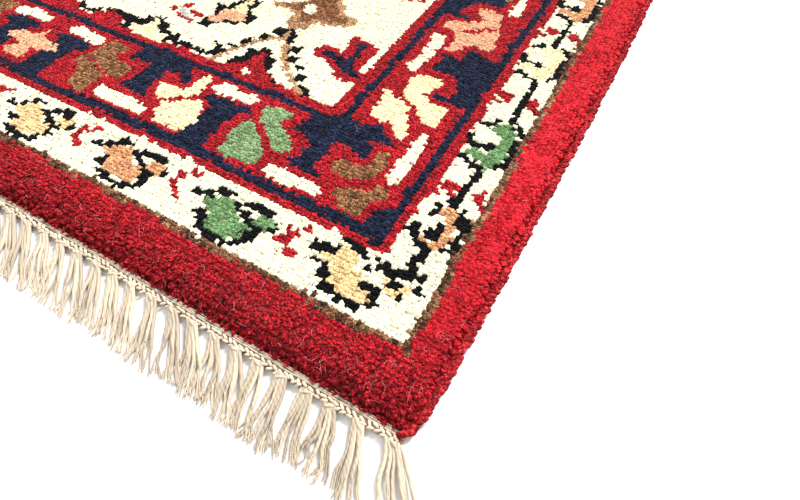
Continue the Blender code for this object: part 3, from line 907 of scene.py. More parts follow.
def ranged(tree, value, to, start=(0.0, 1.0)):
    """The value spread evenly from one range over another."""
    spread = add_node(tree, "ShaderNodeMapRange",
                      inputs={"Value": value, "From Min": start[0], "From Max": start[1],
                              "To Min": to[0], "To Max": to[1]})
    return spread.outputs[0]


def fibre_group():
    """Crimped fibres lying one way: how light each is, lighter where it stands higher, and how high; that
    lightness is painted light and shade where a material also bumps by the height.
    """
    group, entry, leave = new_group(
        "wool_fibres", [("Fibres a metre", "Vector"), ("Turn", "Vector"), ("Contrast", "Float")],
        [("Shade", "Float"), ("Height", "Float")])
    turned = add_node(group, "ShaderNodeMapping",
                      inputs={"Vector": object_place(group), "Rotation": entry.outputs["Turn"]})
    laid = add_node(group, "ShaderNodeVectorMath", {"operation": "MULTIPLY"},
                    {0: turned.outputs[0], 1: entry.outputs["Fibres a metre"]})
    coarse = add_node(group, "ShaderNodeTexNoise",
                      inputs={"Vector": laid.outputs[0], "Scale": 1.0, "Detail": 2.0, "Roughness": 0.6,
                              "Distortion": 1.1})
    fine = add_node(group, "ShaderNodeTexNoise",
                    inputs={"Vector": laid.outputs[0], "Scale": 2.7, "Detail": 1.0, "Distortion": 0.5})
    height = add_node(group, "ShaderNodeMix", {"data_type": "FLOAT"},
                      {"Factor": 0.35, 2: coarse.outputs["Fac"], 3: fine.outputs["Fac"]})
    centred = add_node(group, "ShaderNodeMath", {"operation": "SUBTRACT"},
                       {0: height.outputs[0], 1: 0.5})
    # Lighter where the fibres stand high and darker where they lie low: painted light and shade where a
    # material also bumps by this height
    spread = product(group, centred.outputs[0], entry.outputs["Contrast"])
    shade = add_node(group, "ShaderNodeMath", {"operation": "ADD"}, {0: spread, 1: 1.0})
    group.links.new(shade.outputs[0], leave.inputs["Shade"])
    group.links.new(height.outputs[0], leave.inputs["Height"])
    return group


def yarn_ends_group():
    """The cut ends of the yarns as small clumps: how light each is, with painted shade between them, and how
    high.
    """
    group, entry, leave = new_group("cut_yarn_ends", [("Ends a metre", "Float")],
                                    [("Shade", "Float"), ("Height", "Float")])
    place = object_place(group)
    bent = add_node(group, "ShaderNodeTexNoise", inputs={"Vector": place, "Scale": 420.0, "Detail": 1.0})
    pushed = add_node(group, "ShaderNodeVectorMath", {"operation": "MULTIPLY_ADD"},
                      {0: bent.outputs["Color"], 1: (0.0019, 0.0019, 0.0019), 2: place})
    ends = add_node(group, "ShaderNodeTexVoronoi", {"feature": "F1"},
                    {"Vector": pushed.outputs[0], "Scale": entry.outputs["Ends a metre"]})
    height = add_node(group, "ShaderNodeMapRange", {"interpolation_type": "SMOOTHSTEP"},
                      {"Value": ends.outputs["Distance"], "From Min": 0.05, "From Max": 0.72,
                       "To Min": 1.0, "To Max": 0.0})
    # Painted shade between the clumps; each clump is also lighter or darker at random, partly its own tone
    # and partly painted highlight
    painted_shade_between_ends = ranged(group, height.outputs[0], (0.28, 1.18))
    pick = add_node(group, "ShaderNodeSeparateColor", inputs={0: ends.outputs["Color"]})
    lit = ranged(group, pick.outputs[0], (0.62, 1.42))
    group.links.new(product(group, painted_shade_between_ends, lit), leave.inputs["Shade"])
    group.links.new(height.outputs[0], leave.inputs["Height"])
    return group


def shaded(tree, colour, shade):
    """The colour made lighter or darker by a value about one."""
    grey = add_node(tree, "ShaderNodeCombineColor", inputs={0: shade, 1: shade, 2: shade})
    mixed = add_node(tree, "ShaderNodeMix", {"data_type": "RGBA", "blend_type": "MULTIPLY"},
                     {"Factor": 1.0, 6: colour, 7: grey.outputs[0]})
    return mixed.outputs[2]


def new_material(name, roughness, sheen, specular=0.2):
    """A material, its nodes and its shader, for a dull cloth."""
    material = bpy.data.materials.new(name)
    material.use_nodes = True
    shader = material.node_tree.nodes["Principled BSDF"]
    shader.inputs["Roughness"].default_value = roughness
    shader.inputs["Specular IOR Level"].default_value = specular
    shader.inputs["Sheen Weight"].default_value = sheen
    shader.inputs["Sheen Roughness"].default_value = 0.5
    return material, material.node_tree, shader


def placed_group(tree, group, inputs):
    return add_node(tree, "ShaderNodeGroup", {"node_tree": group}, inputs)


def fibres_laid(tree, fibres, a_metre, degrees, contrast):
    """The fibre group, with its fibres turned that far about the upright."""
    return placed_group(tree, fibres, {"Fibres a metre": a_metre, "Turn": (0.0, 0.0, math.radians(degrees)),
                                       "Contrast": contrast})


def stored(tree, name):
    """A value or colour that the mesh holds."""
    return add_node(tree, "ShaderNodeAttribute", {"attribute_name": name})


def bands_along(tree, place, inputs):
    """Soft bands that cross the piece, one after another along Y."""
    waves = add_node(tree, "ShaderNodeTexWave", {"wave_type": "BANDS", "bands_direction": "Y"},
                     {"Vector": place, "Detail": 1.0, **inputs})
    return waves.outputs["Fac"]


def bumped(tree, shader, height, distance):
    bump = add_node(tree, "ShaderNodeBump", inputs={"Height": height, "Distance": distance})
    tree.links.new(bump.outputs[0], shader.inputs["Normal"])


def mixed_value(tree, factor, first, second):
    mix = add_node(tree, "ShaderNodeMix", {"data_type": "FLOAT"}, {"Factor": factor, 2: first, 3: second})
    return mix.outputs[0]


def pile_material(fibres, ends):
    """Cut wool: each knot in its own yarn, its ends as clumps, or combed over into slanting ridges."""
    material, tree, shader = new_material("wool_pile", 0.95, 0.035, 0.08)
    yarn = stored(tree, "yarn").outputs["Color"]
    combed = stored(tree, "combed").outputs["Fac"]
    clumps = placed_group(tree, ends, {"Ends a metre": 640.0})
    ridges = fibres_laid(tree, fibres, (105.0, 400.0, 260.0), -28, 4.0)
    hairs = fibres_laid(tree, fibres, (1500.0, 1100.0, 1300.0), 20, 2.2)
    patches = fibres_laid(tree, fibres, (34.0, 60.0, 40.0), -28, 1.1)
    # Painted shade between the yarn ends' clumps and along the combed ridges, from the groups' shades
    shade = mixed_value(tree, combed, clumps.outputs["Shade"], ridges.outputs["Shade"])
    # Painted shade: each tuft darker towards its base, down among its neighbours
    painted_shade_up_the_tuft = ranged(tree, stored(tree, "tip").outputs["Fac"], (0.72, 1.04), (0.0, 0.6))
    shade = product(tree, product(tree, shade, painted_shade_up_the_tuft), hairs.outputs["Shade"])
    shade = product(tree, shade, patches.outputs["Shade"])
    # Light bounces about in pale wool, so its hollows stay light
    channels = add_node(tree, "ShaderNodeSeparateColor", inputs={0: yarn})
    paleness = ranged(tree, channels.outputs[1], (0.0, 0.86), (0.10, 0.85))
    shade = mixed_value(tree, paleness, shade, 1.0)
    tree.links.new(shaded(tree, yarn, shade), shader.inputs["Base Color"])
    ridge_height = product(tree, ridges.outputs["Height"], 5.0)
    height = mixed_value(tree, combed, clumps.outputs["Height"], ridge_height)
    flatter = mixed_value(tree, paleness, 1.0, 0.45)
    bumped(tree, shader, product(tree, height, flatter), 0.0008)
    return material


def foundation_material(fibres):
    """The underside: the knots' backs in rows, tight and flat."""
    material, tree, shader = new_material("knot_backs", 0.92, 0.05)
    strands = fibres_laid(tree, fibres, (700.0, 300.0, 700.0), 0, 0.7)
    rows = bands_along(tree, object_place(tree),
                       {"Scale": 0.314 / KNOT, "Distortion": 0.6, "Detail Scale": 3.0})
    # Painted shade in the grooves between the rows of knots
    shade = product(tree, strands.outputs["Shade"], ranged(tree, rows, (0.7, 1.05)))
    tree.links.new(shaded(tree, stored(tree, "yarn").outputs["Color"], shade), shader.inputs["Base Color"])
    bumped(tree, shader, rows, 0.0008)
    return material


def overcast_material(fibres, ends):
    """Red wool, spun loosely."""
    material, tree, shader = new_material("overcast_wool", 0.95, 0.02, 0.08)
    strands = fibres_laid(tree, fibres, (800.0, 360.0, 700.0), -30, 2.6)
    clumps = placed_group(tree, ends, {"Ends a metre": 520.0})
    shade = product(tree, strands.outputs["Shade"], stored(tree, "shade").outputs["Fac"])
    shade = product(tree, shade, clumps.outputs["Shade"])
    # Red wool lightened by painted light
    tree.links.new(shaded(tree, (*linear(OVERCAST_RED_WITH_PAINTED_LIGHT), 1.0), shade), shader.inputs["Base Color"])
    bumped(tree, shader, strands.outputs["Height"], 0.003)
    return material


def cotton_material(name, fibres):
    """Twisted cotton: slanting plies, and yarns that are not all of one shade."""
    colour, plies_a_metre, grooves_deep = COTTONS[name]
    material, tree, shader = new_material(name, 0.85, 0.1)
    strands = fibres_laid(tree, fibres, (1500.0, 700.0, 900.0), 20, 0.35)
    slanted = add_node(tree, "ShaderNodeMapping",
                       inputs={"Vector": object_place(tree), "Rotation": (0.4, 0.0, math.radians(30))})
    plies = bands_along(tree, slanted.outputs[0],
                        {"Scale": plies_a_metre, "Distortion": 1.2, "Detail Scale": 1.5})
    # Painted shade in the grooves between the plies
    shade = product(tree, strands.outputs["Shade"], ranged(tree, plies, (0.94, 1.03)))
    shade = product(tree, shade, stored(tree, "shade").outputs["Fac"])
    tree.links.new(shaded(tree, (*linear(colour), 1.0), shade), shader.inputs["Base Color"])
    bumped(tree, shader, plies, grooves_deep)
    return material


def hair_material():
    """Loose hairs, each of its own shade."""
    material, tree, shader = new_material("loose_hair", 0.8, 0.2)
    shade = stored(tree, "shade").outputs["Fac"]
    tree.links.new(shaded(tree, (*linear(LOOSE_HAIR), 1.0), shade), shader.inputs["Base Color"])
    return material


# The pile
END_BAND = 11 * KNOT                # the red rows outside the brown line, seen darker at each end
SIDE_BAND = 10 * KNOT
TUFT_DEPTH = 0.0012
TUFT_RADIUS = 0.00185 * math.sqrt(2)
SHAGGY_DEPTH = 0.0010
SHAGGY_END = 0.012
SHAGGY_SIDE = 0.010
TIP_STRAY = 0.00055
TIP_RISE = (-0.0004, 0.0003)
SHAGGY_RISE = 1.2                   # how much more the tips rise and sink where the pile is shaggy
LOOSE_TILT = 0.15
SHAGGY_TILT = 0.17
TUFT_TURN = 0.6
TUFT_DEPTHS = (0.8, 1.3)
TUFT_WIDTHS = (0.96, 1.22)
FOUNDATION_RINGS = (
    # how far in from the edge, at what distance in the pile's height is read, how far below the pile
    (0.0014, 0.0000, 0.0014),
    (0.0032, 0.0016, 0.0014),
    (0.0062, 0.0045, 0.0016),
    (0.0130, 0.0130, 0.0018),
)
FOUNDATION_CELL = 2                 # knots to a cell of the underside
PILE_STRIPS = 4
NAP = math.radians(9)
COMBED_FROM_END = 0.03
COMBED_FADE = 0.10
COMBED_LEAN = (math.radians(20), math.radians(12))
COMBED_SHORTER = 0.35
FALL_LEAN = 0.7                     # share of the pile's fall that its tufts lean with
FALL_DEPTH = 0.6 * KNOT
DYE_DRIFT = 0.035
DRIFT_ROWS = (9.0, 31.0)
# Red wool darkened as painted shade, for the foundation's walls and top that show between the tufts
EDGE_WOOL_IN_PAINTED_SHADE = (122, 40, 40)
END_SHADE = (
    # distance from the end, shade
    (0.000, 0.66),
    (0.012, 0.82),
    (END_BAND, 0.95),
)
END_SHADE_SHARE = (
    # distance from the side, share of the end's shade
    (0.00, 0.7),
    (0.06, 1.0),
)
SIDE_SHADE = (
    # distance from the end, shade of the side band
    (0.00, 0.92),
    (0.03, 0.85),
    (0.16, 1.00),
)
RIM_ROWS = (
    # side or end, out from the pile's edge, height, lean outwards in degrees, share of the tufts
    ("side", -0.0003, 0.0064, 58.0, 1.0),
    ("side", 0.0008, 0.0068, 35.0, 0.85),
    ("side", 0.0024, 0.0072, 30.0, 0.62),
    ("side", 0.0048, 0.0062, 52.0, 0.5),
    ("end", -0.0003, 0.0032, 62.0, 1.0),
    ("end", -0.0003, 0.0018, 72.0, 1.0),
)
RIM_STRAY_ALONG = 0.0008
RIM_STRAY_OUT = 0.0004
RIM_RISE = (-0.0006, 0.0004)
RIM_DEPTH = (0.0026, 0.0036)
# Painted shade: the red of the tufts on the carpet's sides is darkened by this much
RIM_PAINTED_SHADE = 0.72
FLOOR_CLEARANCE = 0.0004
THINNEST_TUFT = 0.0002
RIM_LEAN_STRAY = 0.16
LEAST_LEAN = 0.3
RIM_TWIST = 0.2
RIM_WIDTHS = (0.95, 1.15)
RIM_SHADES = (0.8, 1.15)


def yarn_colours(yarn, rng):
    """Each knot's linear colour: its yarn, the dye's drift from row to row, and its own small difference."""
    dyed = np.array([linear(YARNS[name]) for name in YARN_NAMES])[yarn]
    rows, columns = yarn.shape
    quick, slow = DRIFT_ROWS
    drift = 1 + DYE_DRIFT * np.sin(np.arange(rows) / quick + 2 * np.sin(np.arange(rows) / slow))
    uneven = np.array([UNEVEN.get(name, EVEN) for name in YARN_NAMES])[yarn]
    own = 1 + uneven * rng.uniform(-1, 1, (rows, columns))
    return dyed * (drift[:, None] * own)[..., None]


def knot_middles(count):
    """Where the middles of a row of knots lie, about the carpet's middle."""
    return (np.arange(count) - (count - 1) / 2) * KNOT


def steepness(distance, rounding):
    """How steeply the pile falls away at that distance from its edge."""
    step = 0.0015
    high = read_off(rounding, distance + step)
    low = read_off(rounding, np.maximum(distance - step, 0))
    return (high - low) / (2 * step)


def seen_shade(from_end, from_side):
    """The end bands lean away from the light, most of all by the fringe, and the side bands less."""
    at_end = 1 + (read_off(END_SHADE, from_end) - 1) * read_off(END_SHADE_SHARE, from_side)
    seen = np.where(from_side < SIDE_BAND, read_off(SIDE_SHADE, from_end), 1.0)
    return np.where(from_end < END_BAND, at_end, seen)


def knot_table(rng, yarn):
    """For every knot: its tuft's tip, tilt, size and colour, and how far the pile is combed over there."""
    x, y = np.meshgrid(knot_middles(KNOTS_ACROSS), knot_middles(KNOTS_ALONG))
    x = x + rng.uniform(-TIP_STRAY, TIP_STRAY, x.shape)
    y = y + rng.uniform(-TIP_STRAY, TIP_STRAY, y.shape)
    from_side = PILE_HALF_WIDTH - np.abs(x)
    from_end = PILE_HALF_LENGTH - np.abs(y)
    shaggy = np.clip((END_BAND - from_end) / SHAGGY_END, 0, 1)
    shaggy = np.maximum(shaggy, np.clip(1 - from_side / SHAGGY_SIDE, 0, 1))
    z = pile_height(x, y) + rng.uniform(*TIP_RISE, x.shape) * (1 + SHAGGY_RISE * shaggy)
    side_fall = steepness(from_side, SIDE_ROUNDING)
    end_fall = steepness(from_end, END_ROUNDING)
    combed = (from_side < SIDE_BAND) * np.clip((from_end - COMBED_FROM_END) / COMBED_FADE, 0, 1)
    loose = LOOSE_TILT + SHAGGY_TILT * shaggy
    tilt_x = (NAP + COMBED_LEAN[0] * combed - FALL_LEAN * np.arctan(end_fall) * np.sign(y)
              + loose * rng.normal(0, 1, x.shape))
    tilt_y = (COMBED_LEAN[1] * combed + FALL_LEAN * np.arctan(side_fall) * np.sign(x)
              + loose * rng.normal(0, 1, x.shape))
    turn = rng.uniform(-TUFT_TURN, TUFT_TURN, x.shape)
    depth = TUFT_DEPTH * (1 - COMBED_SHORTER * combed) + SHAGGY_DEPTH * shaggy
    depth = depth * rng.uniform(*TUFT_DEPTHS, x.shape) + FALL_DEPTH * np.maximum(side_fall, end_fall)
    half = TUFT_RADIUS * rng.uniform(*TUFT_WIDTHS, x.shape)
    lie_x, lie_y = as_it_lies(x, y)
    tip_x = lie_x + depth * np.sin(tilt_y)
    tip_y = lie_y - depth * np.sin(tilt_x)
    colour = yarn_colours(yarn, rng) * seen_shade(from_end, from_side)[..., None]
    alpha = np.ones(x.shape)
    return (np.stack([tip_x, tip_y, z], -1), np.stack([tilt_x, tilt_y, turn], -1),
            np.stack([half, half, depth], -1), np.dstack([colour, alpha]), combed[..., None])


def rim_row(rng, sign, edge, out, height, lean, share):
    """One row of the tufts that show on a side of the carpet, as knot_table gives them."""
    at_side = edge == "side"
    along = knot_middles(KNOTS_ALONG if at_side else KNOTS_ACROSS)
    along = along[rng.uniform(0, 1, len(along)) < share]
    count = len(along)
    along = along + rng.uniform(-RIM_STRAY_ALONG, RIM_STRAY_ALONG, count)
    far = np.full(count, sign * (PILE_HALF_WIDTH if at_side else PILE_HALF_LENGTH))
    stray = sign * (rng.uniform(-RIM_STRAY_OUT, RIM_STRAY_OUT, count) + out)
    if at_side:
        lie_x, lie_y = as_it_lies(far, along)
        lie_x = lie_x + stray
    else:
        lie_x, lie_y = as_it_lies(along, far)
        lie_y = lie_y + stray
    z = height + rng.uniform(*RIM_RISE, count)
    leans = math.radians(lean) + rng.normal(0, RIM_LEAN_STRAY, count)
    twist = rng.normal(0, RIM_TWIST, count)
    tilt = (twist, sign * leans) if at_side else (-sign * leans, twist)
    depth = rng.uniform(*RIM_DEPTH, count)
    half = TUFT_RADIUS * rng.uniform(*RIM_WIDTHS, count)
    clear = (z - depth * np.cos(leans)) / np.sin(np.maximum(leans, LEAST_LEAN)) - FLOOR_CLEARANCE
    half = np.clip(clear, THINNEST_TUFT, half)
    # The sides' red, darkened by painted shade and uneven from tuft to tuft
    red = np.outer(RIM_PAINTED_SHADE * rng.uniform(*RIM_SHADES, count), linear(YARNS["red"]))
    return (np.stack([lie_x, lie_y, z], -1), np.stack([*tilt, 0 * z], -1), np.stack([half, half, depth], -1),
            np.column_stack([red, np.ones(count)]), np.zeros((count, 1)))


def rim_table(rng):
    """The tufts that show on the carpet's sides, in rows one over another."""
    tables = [rim_row(rng, sign, *row) for row in RIM_ROWS for sign in (-1, 1)]
    return [np.concatenate(column) for column in zip(*tables)]


def flat_map(piece, low, high):
    """A map of the piece as seen from above, for the pattern to be baked on."""
    mesh = piece.data
    corners = np.zeros(len(mesh.loops), np.int32)
    mesh.loops.foreach_get("vertex_index", corners)
    places = np.zeros(len(mesh.vertices) * 3, np.float32)
    mesh.vertices.foreach_get("co", places)
    flat = (places.reshape(-1, 3)[corners, :2] - low) / (np.array(high) - low)
    layer = mesh.uv_layers.new(name="OFBake")
    layer.data.foreach_set("uv", np.clip(flat, 0, 1).astype(np.float32).ravel())


def make_tufts(name, table, tree, material):
    """A piece of the pile, with a tuft for each row of the table."""
    place, tilt, size, colour, combed = table
    tufts = new_piece(name, place)
    set_attribute(tufts, "tilt", "FLOAT_VECTOR", "POINT", tilt)
    set_attribute(tufts, "size", "FLOAT_VECTOR", "POINT", size)
    set_attribute(tufts, "yarn", "FLOAT_COLOR", "POINT", colour)
    set_attribute(tufts, "combed", "FLOAT", "POINT", combed)
    grown(tufts, tree, {"Material": material, "Sides": 4})
    kept_above_floor(tufts)
    margin = 2 * KNOT
    flat_map(tufts, place[:, :2].min(0) - margin, place[:, :2].max(0) + margin)
    return tufts


def make_pile(rng, yarn, material):
    """The tufts, in strips of whole rows from one end to the other, and those of the carpet's sides."""
    tree = tuft_tree()
    tables = knot_table(rng, yarn)
    pieces = [make_tufts("pile_rim", rim_table(rng), tree, material)]
    for number, rows in enumerate(np.array_split(np.arange(KNOTS_ALONG), PILE_STRIPS), start=1):
        strip = [table[rows].reshape(-1, table.shape[-1]) for table in tables]
        pieces.append(make_tufts(f"pile_strip_{number}", strip, tree, material))
    return pieces


def nearest_knots(places, count):
    """The numbers of the knots that lie nearest to the places, in a row of that many."""
    return np.clip(np.round(places / KNOT + (count - 1) / 2), 0, count - 1).astype(int)


def raised_rings(x, y, rim):
    """The rings of places that the foundation's walls rise through, the last one round its top."""
    rings = []
    for inset, read_at, under in FOUNDATION_RINGS:
        ring_x = np.clip(x[rim], inset - PILE_HALF_WIDTH, PILE_HALF_WIDTH - inset)
        ring_y = np.clip(y[rim], inset - PILE_HALF_LENGTH, PILE_HALF_LENGTH - inset)
        height = lowest_height(ring_x, ring_y, inset - read_at) - under
        rings.append(np.stack([*as_it_lies(ring_x, ring_y), height], -1))
    return rings


def make_foundation(yarn, rng, material):
    """The woven ground as one thin slab, with the knots' backs on its underside."""
    columns = (KNOTS_ACROSS + 1) // FOUNDATION_CELL + 1
    rows = (KNOTS_ALONG + 1) // FOUNDATION_CELL + 1
    across = np.linspace(-PILE_HALF_WIDTH, PILE_HALF_WIDTH, columns)
    along = np.linspace(-PILE_HALF_LENGTH, PILE_HALF_LENGTH, rows)
    x, y = [plan.ravel() for plan in np.meshgrid(across, along)]
    index = np.arange(rows * columns).reshape(rows, columns)
    cells = np.stack([index[:-1, :-1], index[1:, :-1], index[1:, 1:], index[:-1, 1:]], -1).reshape(-1, 4)
    rim = np.concatenate([index[0, :-1], index[:-1, -1], index[-1, :0:-1], index[:0:-1, 0]])
    below = np.stack([*as_it_lies(x, y), np.zeros_like(x)], -1)
    raised = raised_rings(x, y, rim)
    starts = len(below) + len(rim) * np.arange(len(raised))
    rings = [rim, *(start + np.arange(len(rim)) for start in starts)]
    walls = np.concatenate([np.stack([low, np.roll(low, -1), np.roll(high, -1), high], -1)
                            for low, high in zip(rings, rings[1:])])
    faces = [*map(tuple, cells), *map(tuple, walls), tuple(rings[-1])]
    slab = new_piece("carpet_foundation", np.concatenate([below, *raised]), faces=faces)
    slab.data.materials.append(material)
    column = nearest_knots((across[:-1] + across[1:]) / 2, KNOTS_ACROSS)
    row = nearest_knots((along[:-1] + along[1:]) / 2, KNOTS_ALONG)
    knot_backs = yarn_colours(yarn, rng)[np.ix_(row, column)].reshape(-1, 3)
    # The walls and top: red wool with painted shade
    walls_and_top_in_painted_shade = np.tile(linear(EDGE_WOOL_IN_PAINTED_SHADE), (len(walls) + 1, 1))
    corners = np.repeat(np.concatenate([knot_backs, walls_and_top_in_painted_shade]), [len(face) for face in faces], axis=0)
    set_attribute(slab, "yarn", "FLOAT_COLOR", "CORNER", np.column_stack([corners, np.ones(len(corners))]))
    return slab


# The overcast sides
OVERCAST_WIDTH = 0.0068
OVERCAST_HEIGHT = 0.0061
OVERCAST_YARN = 0.0016
OVERCAST_STATIONS = 120
TURN_SPACING = 0.0032
TURN_SLANT = math.radians(50)
TURN_RAISED = 0.0003
TURN_SEED = 5
ONTO_THE_PILE = 0.0007
CORE_SIDES = 8
# Painted shade: the cord inside the turns is darkened so the gaps between the turns look dark
CORE_PAINTED_SHADE = 0.5


def make_overcast(side, material, tree):
    """An edge cord, and the turns of wool that bind it."""
    name = "side_binding_right" if side > 0 else "side_binding_left"
    y = np.linspace(-PILE_HALF_LENGTH, PILE_HALF_LENGTH, OVERCAST_STATIONS)
    edge_x, edge_y = as_it_lies(np.full_like(y, side * PILE_HALF_WIDTH), y)
    centre_x = edge_x + side * (GAP + OVERCAST_WIDTH / 2)
    centre_z = OVERCAST_HEIGHT / 2
    around = np.linspace(0, 2 * math.pi, CORE_SIDES, endpoint=False)
    core_x = (OVERCAST_WIDTH / 2 - OVERCAST_YARN) * np.cos(around)
    core_z = (OVERCAST_HEIGHT / 2 - OVERCAST_YARN) * np.sin(around)
    rings = np.stack(np.broadcast_arrays(centre_x[:, None] + core_x, edge_y[:, None], centre_z + core_z), -1)
    core = loft(name + "_cord", rings)
    core.data.materials.append(material)
    # The cord darkened by painted shade, which shows between the turns
    set_attribute(core, "shade", "FLOAT", "POINT", np.full(len(core.data.vertices), CORE_PAINTED_SHADE))
    line = np.stack([centre_x - side * ONTO_THE_PILE, edge_y, np.full_like(y, centre_z + TURN_RAISED)], -1)
    turns = lines_piece(name, [(line, np.ones(len(line)), 1.0)])
    facing = (0.0, 0.0, TURN_SLANT) if side > 0 else (0.0, 0.0, math.pi - TURN_SLANT)
    turn_reach = (OVERCAST_WIDTH / 2 - OVERCAST_YARN + ONTO_THE_PILE) / math.cos(TURN_SLANT)
    turn_size = (turn_reach, 1.0, OVERCAST_HEIGHT / 2 - OVERCAST_YARN)
    grown(turns, tree, {"Material": material, "Spacing": TURN_SPACING, "Yarn radius": OVERCAST_YARN,
                        "Turn size": turn_size, "Slant": facing, "Seed": TURN_SEED + side})
    kept_above_floor(turns)
    return turns, core


# The woven end and its chained cord
BAND_WIDTH = 0.0075
BAND_PAST_CORNER = 0.0030
BAND_HALF_LENGTH = PILE_HALF_WIDTH - DRAWN_IN[0][1] + BAND_PAST_CORNER
BAND_SECTION = (
    # out from the carpet, up
    (0.0000, 0.0000),
    (0.0066, 0.0000),
    (0.0066, 0.0016),
    (0.0045, 0.0026),
    (0.0000, 0.0028),
)
WEFT_LINES = (
    # out from the carpet, up, thickness, shade
    (0.0004, 0.0034, 0.00050, 0.62),
    (0.0014, 0.0034, 0.00058, 0.76),
    (0.0025, 0.0033, 0.00062, 0.84),
)
BAND_STATIONS = 180
# Painted shade: the band's woven strip is darkened so the gaps between the stitches look dark
BAND_PAINTED_SHADE = 0.42
WEFT_SWAYS = (
    # how far a weft sways, waves a metre in radians, how the wave shifts from weft to weft
    (0.00022, 900, 9000),
    (0.0002, 210, 4000),
)
WEFT_UNEVEN = 0.12
STITCH_PITCH = 0.0040
STITCH_SIZE = (0.0051, 0.0020, 0.0023)
STITCH_ROWS = (
    # out from the carpet, up, slant towards the next row in degrees, start in stitches
    (0.0044, 0.0034, 24.0, 0.0),
    (0.0061, 0.0031, -24.0, 0.45),
)
STITCH_INSET = 0.002
STITCH_STRAY = 0.00034
STITCH_TURN_STRAY = 13
STITCH_DIP = (0.05, 0.06)
STITCH_SHADES = (1.06, 1.26)


def make_band_strip(name, end, material):
    """The woven ground of an end band."""
    x = np.linspace(-BAND_HALF_LENGTH, BAND_HALF_LENGTH, BAND_STATIONS)
    rings = np.stack([np.stack([x, end_line(x, end, out), np.full_like(x, up)], -1)
                      for out, up in BAND_SECTION], 1)
    strip = loft(name + "_strip", rings)
    strip.data.materials.append(material)
    # The strip darkened by painted shade, which shows between the stitches
    set_attribute(strip, "shade", "FLOAT", "POINT", np.full(len(strip.data.vertices), BAND_PAINTED_SHADE))
    return strip


def make_wefts(name, end, material, tree, rng):
    """Fine weft yarns along the band, by the pile."""
    x = np.linspace(-BAND_HALF_LENGTH, BAND_HALF_LENGTH, BAND_STATIONS)
    lines = []
    for out, up, thickness, shade in WEFT_LINES:
        sway = sum(height * np.sin(x * often + out * shifted) for height, often, shifted in WEFT_SWAYS)
        line = np.stack([x, end_line(x, end, out + sway), up + 0.5 * sway], -1)
        lines.append((line, thickness * (1 + WEFT_UNEVEN * rng.uniform(-1, 1, len(x))), shade))
    return grown(lines_piece(name + "_wefts", lines), tree, {"Material": material, "Sides": 5})


def make_chain(name, end, material, tree, rng):
    """Two rows of slanting stitches, which make the chained cord outside the wefts."""
    places = []
    tilts = []
    shades = []
    stop = BAND_HALF_LENGTH - STITCH_INSET
    for out, up, slant, start in STITCH_ROWS:
        x = np.arange(-BAND_HALF_LENGTH + STITCH_INSET + start * STITCH_PITCH, stop, STITCH_PITCH)
        stray = rng.normal(0, STITCH_STRAY, (3, len(x)))
        places.append(np.stack([x + stray[0], end_line(x, end, out + stray[1]), up + stray[2]], -1))
        turn = np.radians(end * slant + rng.normal(0, STITCH_TURN_STRAY, len(x)))
        tilts.append(np.stack([0 * x, rng.normal(*STITCH_DIP, len(x)), turn], -1))
        shades.append(rng.uniform(*STITCH_SHADES, len(x)))
    chain = new_piece(name + "_chain", np.concatenate(places))
    set_attribute(chain, "tilt", "FLOAT_VECTOR", "POINT", np.concatenate(tilts))
    set_attribute(chain, "shade", "FLOAT", "POINT", np.concatenate(shades))
    return grown(chain, tree, {"Material": material, "Stitch size": STITCH_SIZE})


def make_end_band(name, end, materials, trees, rng):
    """The woven strip, fine weft lines against the pile, and a chained cord outside them."""
    ground, yarn = materials
    return (make_band_strip(name, end, ground), make_wefts(name, end, yarn, trees["yarns"], rng),
            make_chain(name, end, yarn, trees["stitches"], rng))


# The fringe
GROUPS = 55
GROUP_PITCH = 2 * BAND_HALF_LENGTH / GROUPS
GROUP_STRAY = 0.0008
GROUP_SHORTER = 0.07
GROUP_OPENS = (0.85, 1.2)
CORDS_A_GROUP = 6
STRANDS_A_CORD = 3
CORD_RADIUS = 0.00118
CORD_WIDTHS = (0.9, 1.12)
CORD_SHORTER = 0.10
CORD_STRAY = 0.12
CORD_BEND = 0.0013
CORD_LIFT = 0.0008
ODD_CORD_LIFT = 0.0011
CORD_SHADES = (0.68, 1.08)
CORD_POINTS = 8
PARTS_AT = (0.5, 0.82)
STRAND_RADIUS = 0.0007
STRAND_STARTS_BEFORE = 0.12
STRAND_ENDS = (1.02, 0.08)          # share of the cord's reach at most, and how much less at least
STRAND_POINTS = 5
STRAND_BESIDE = 0.0004
STRAND_SPREAD = 0.0008
STRAND_FRAY = 0.0011
STRAND_CURL = 0.0003
STRAND_LOOSE = 0.0006
STRAND_THINNING = 0.45
STRAND_SHADES = (0.9, 1.04)
CORNER_GROUP_OUT = 0.0045
CORNER_GROUP_LEAN = 13.0
CORNER_GROUP_WIDER = 1.5
FRINGE_REACH = 0.0370
ROOT_INSIDE = 0.0016
LEAN_EASING = 0.35
LEAN_STRAY = 2.5
FULL_TURN = 6.3
KNOT_POINTS = 10
KNOT_TURN = (-0.9, 2 * math.pi * 0.62)
KNOT_HALF_WIDTH = 0.0027
KNOT_HALF_HEIGHT = 0.0017
KNOT_HEIGHT = 0.0024
KNOT_INSIDE = 0.0002
KNOT_SLOPE = 0.5
KNOT_SLOPE_STRAY = 0.15
KNOT_LEANS_WITH = 0.0012
KNOT_YARN = 0.00098
KNOT_SHADES = (0.86, 1.03)
LEAN = (
    # distance from the band's +X end, degrees by which the cords lean towards +X
    (0.000, 20.0),
    (0.022, 21.0),
    (0.040, 15.0),
    (0.062, 13.0),
    (0.085, 19.0),
    (0.105, 28.0),
    (0.127, 36.0),
    (0.160, 38.0),
    (0.200, 35.0),
    (0.225, 33.0),
    (0.255, 41.0),
    (0.290, 45.0),
    (0.400, 40.0),
    (0.520, 46.0),
    (0.700, 34.0),
    (0.902, 40.0),
)
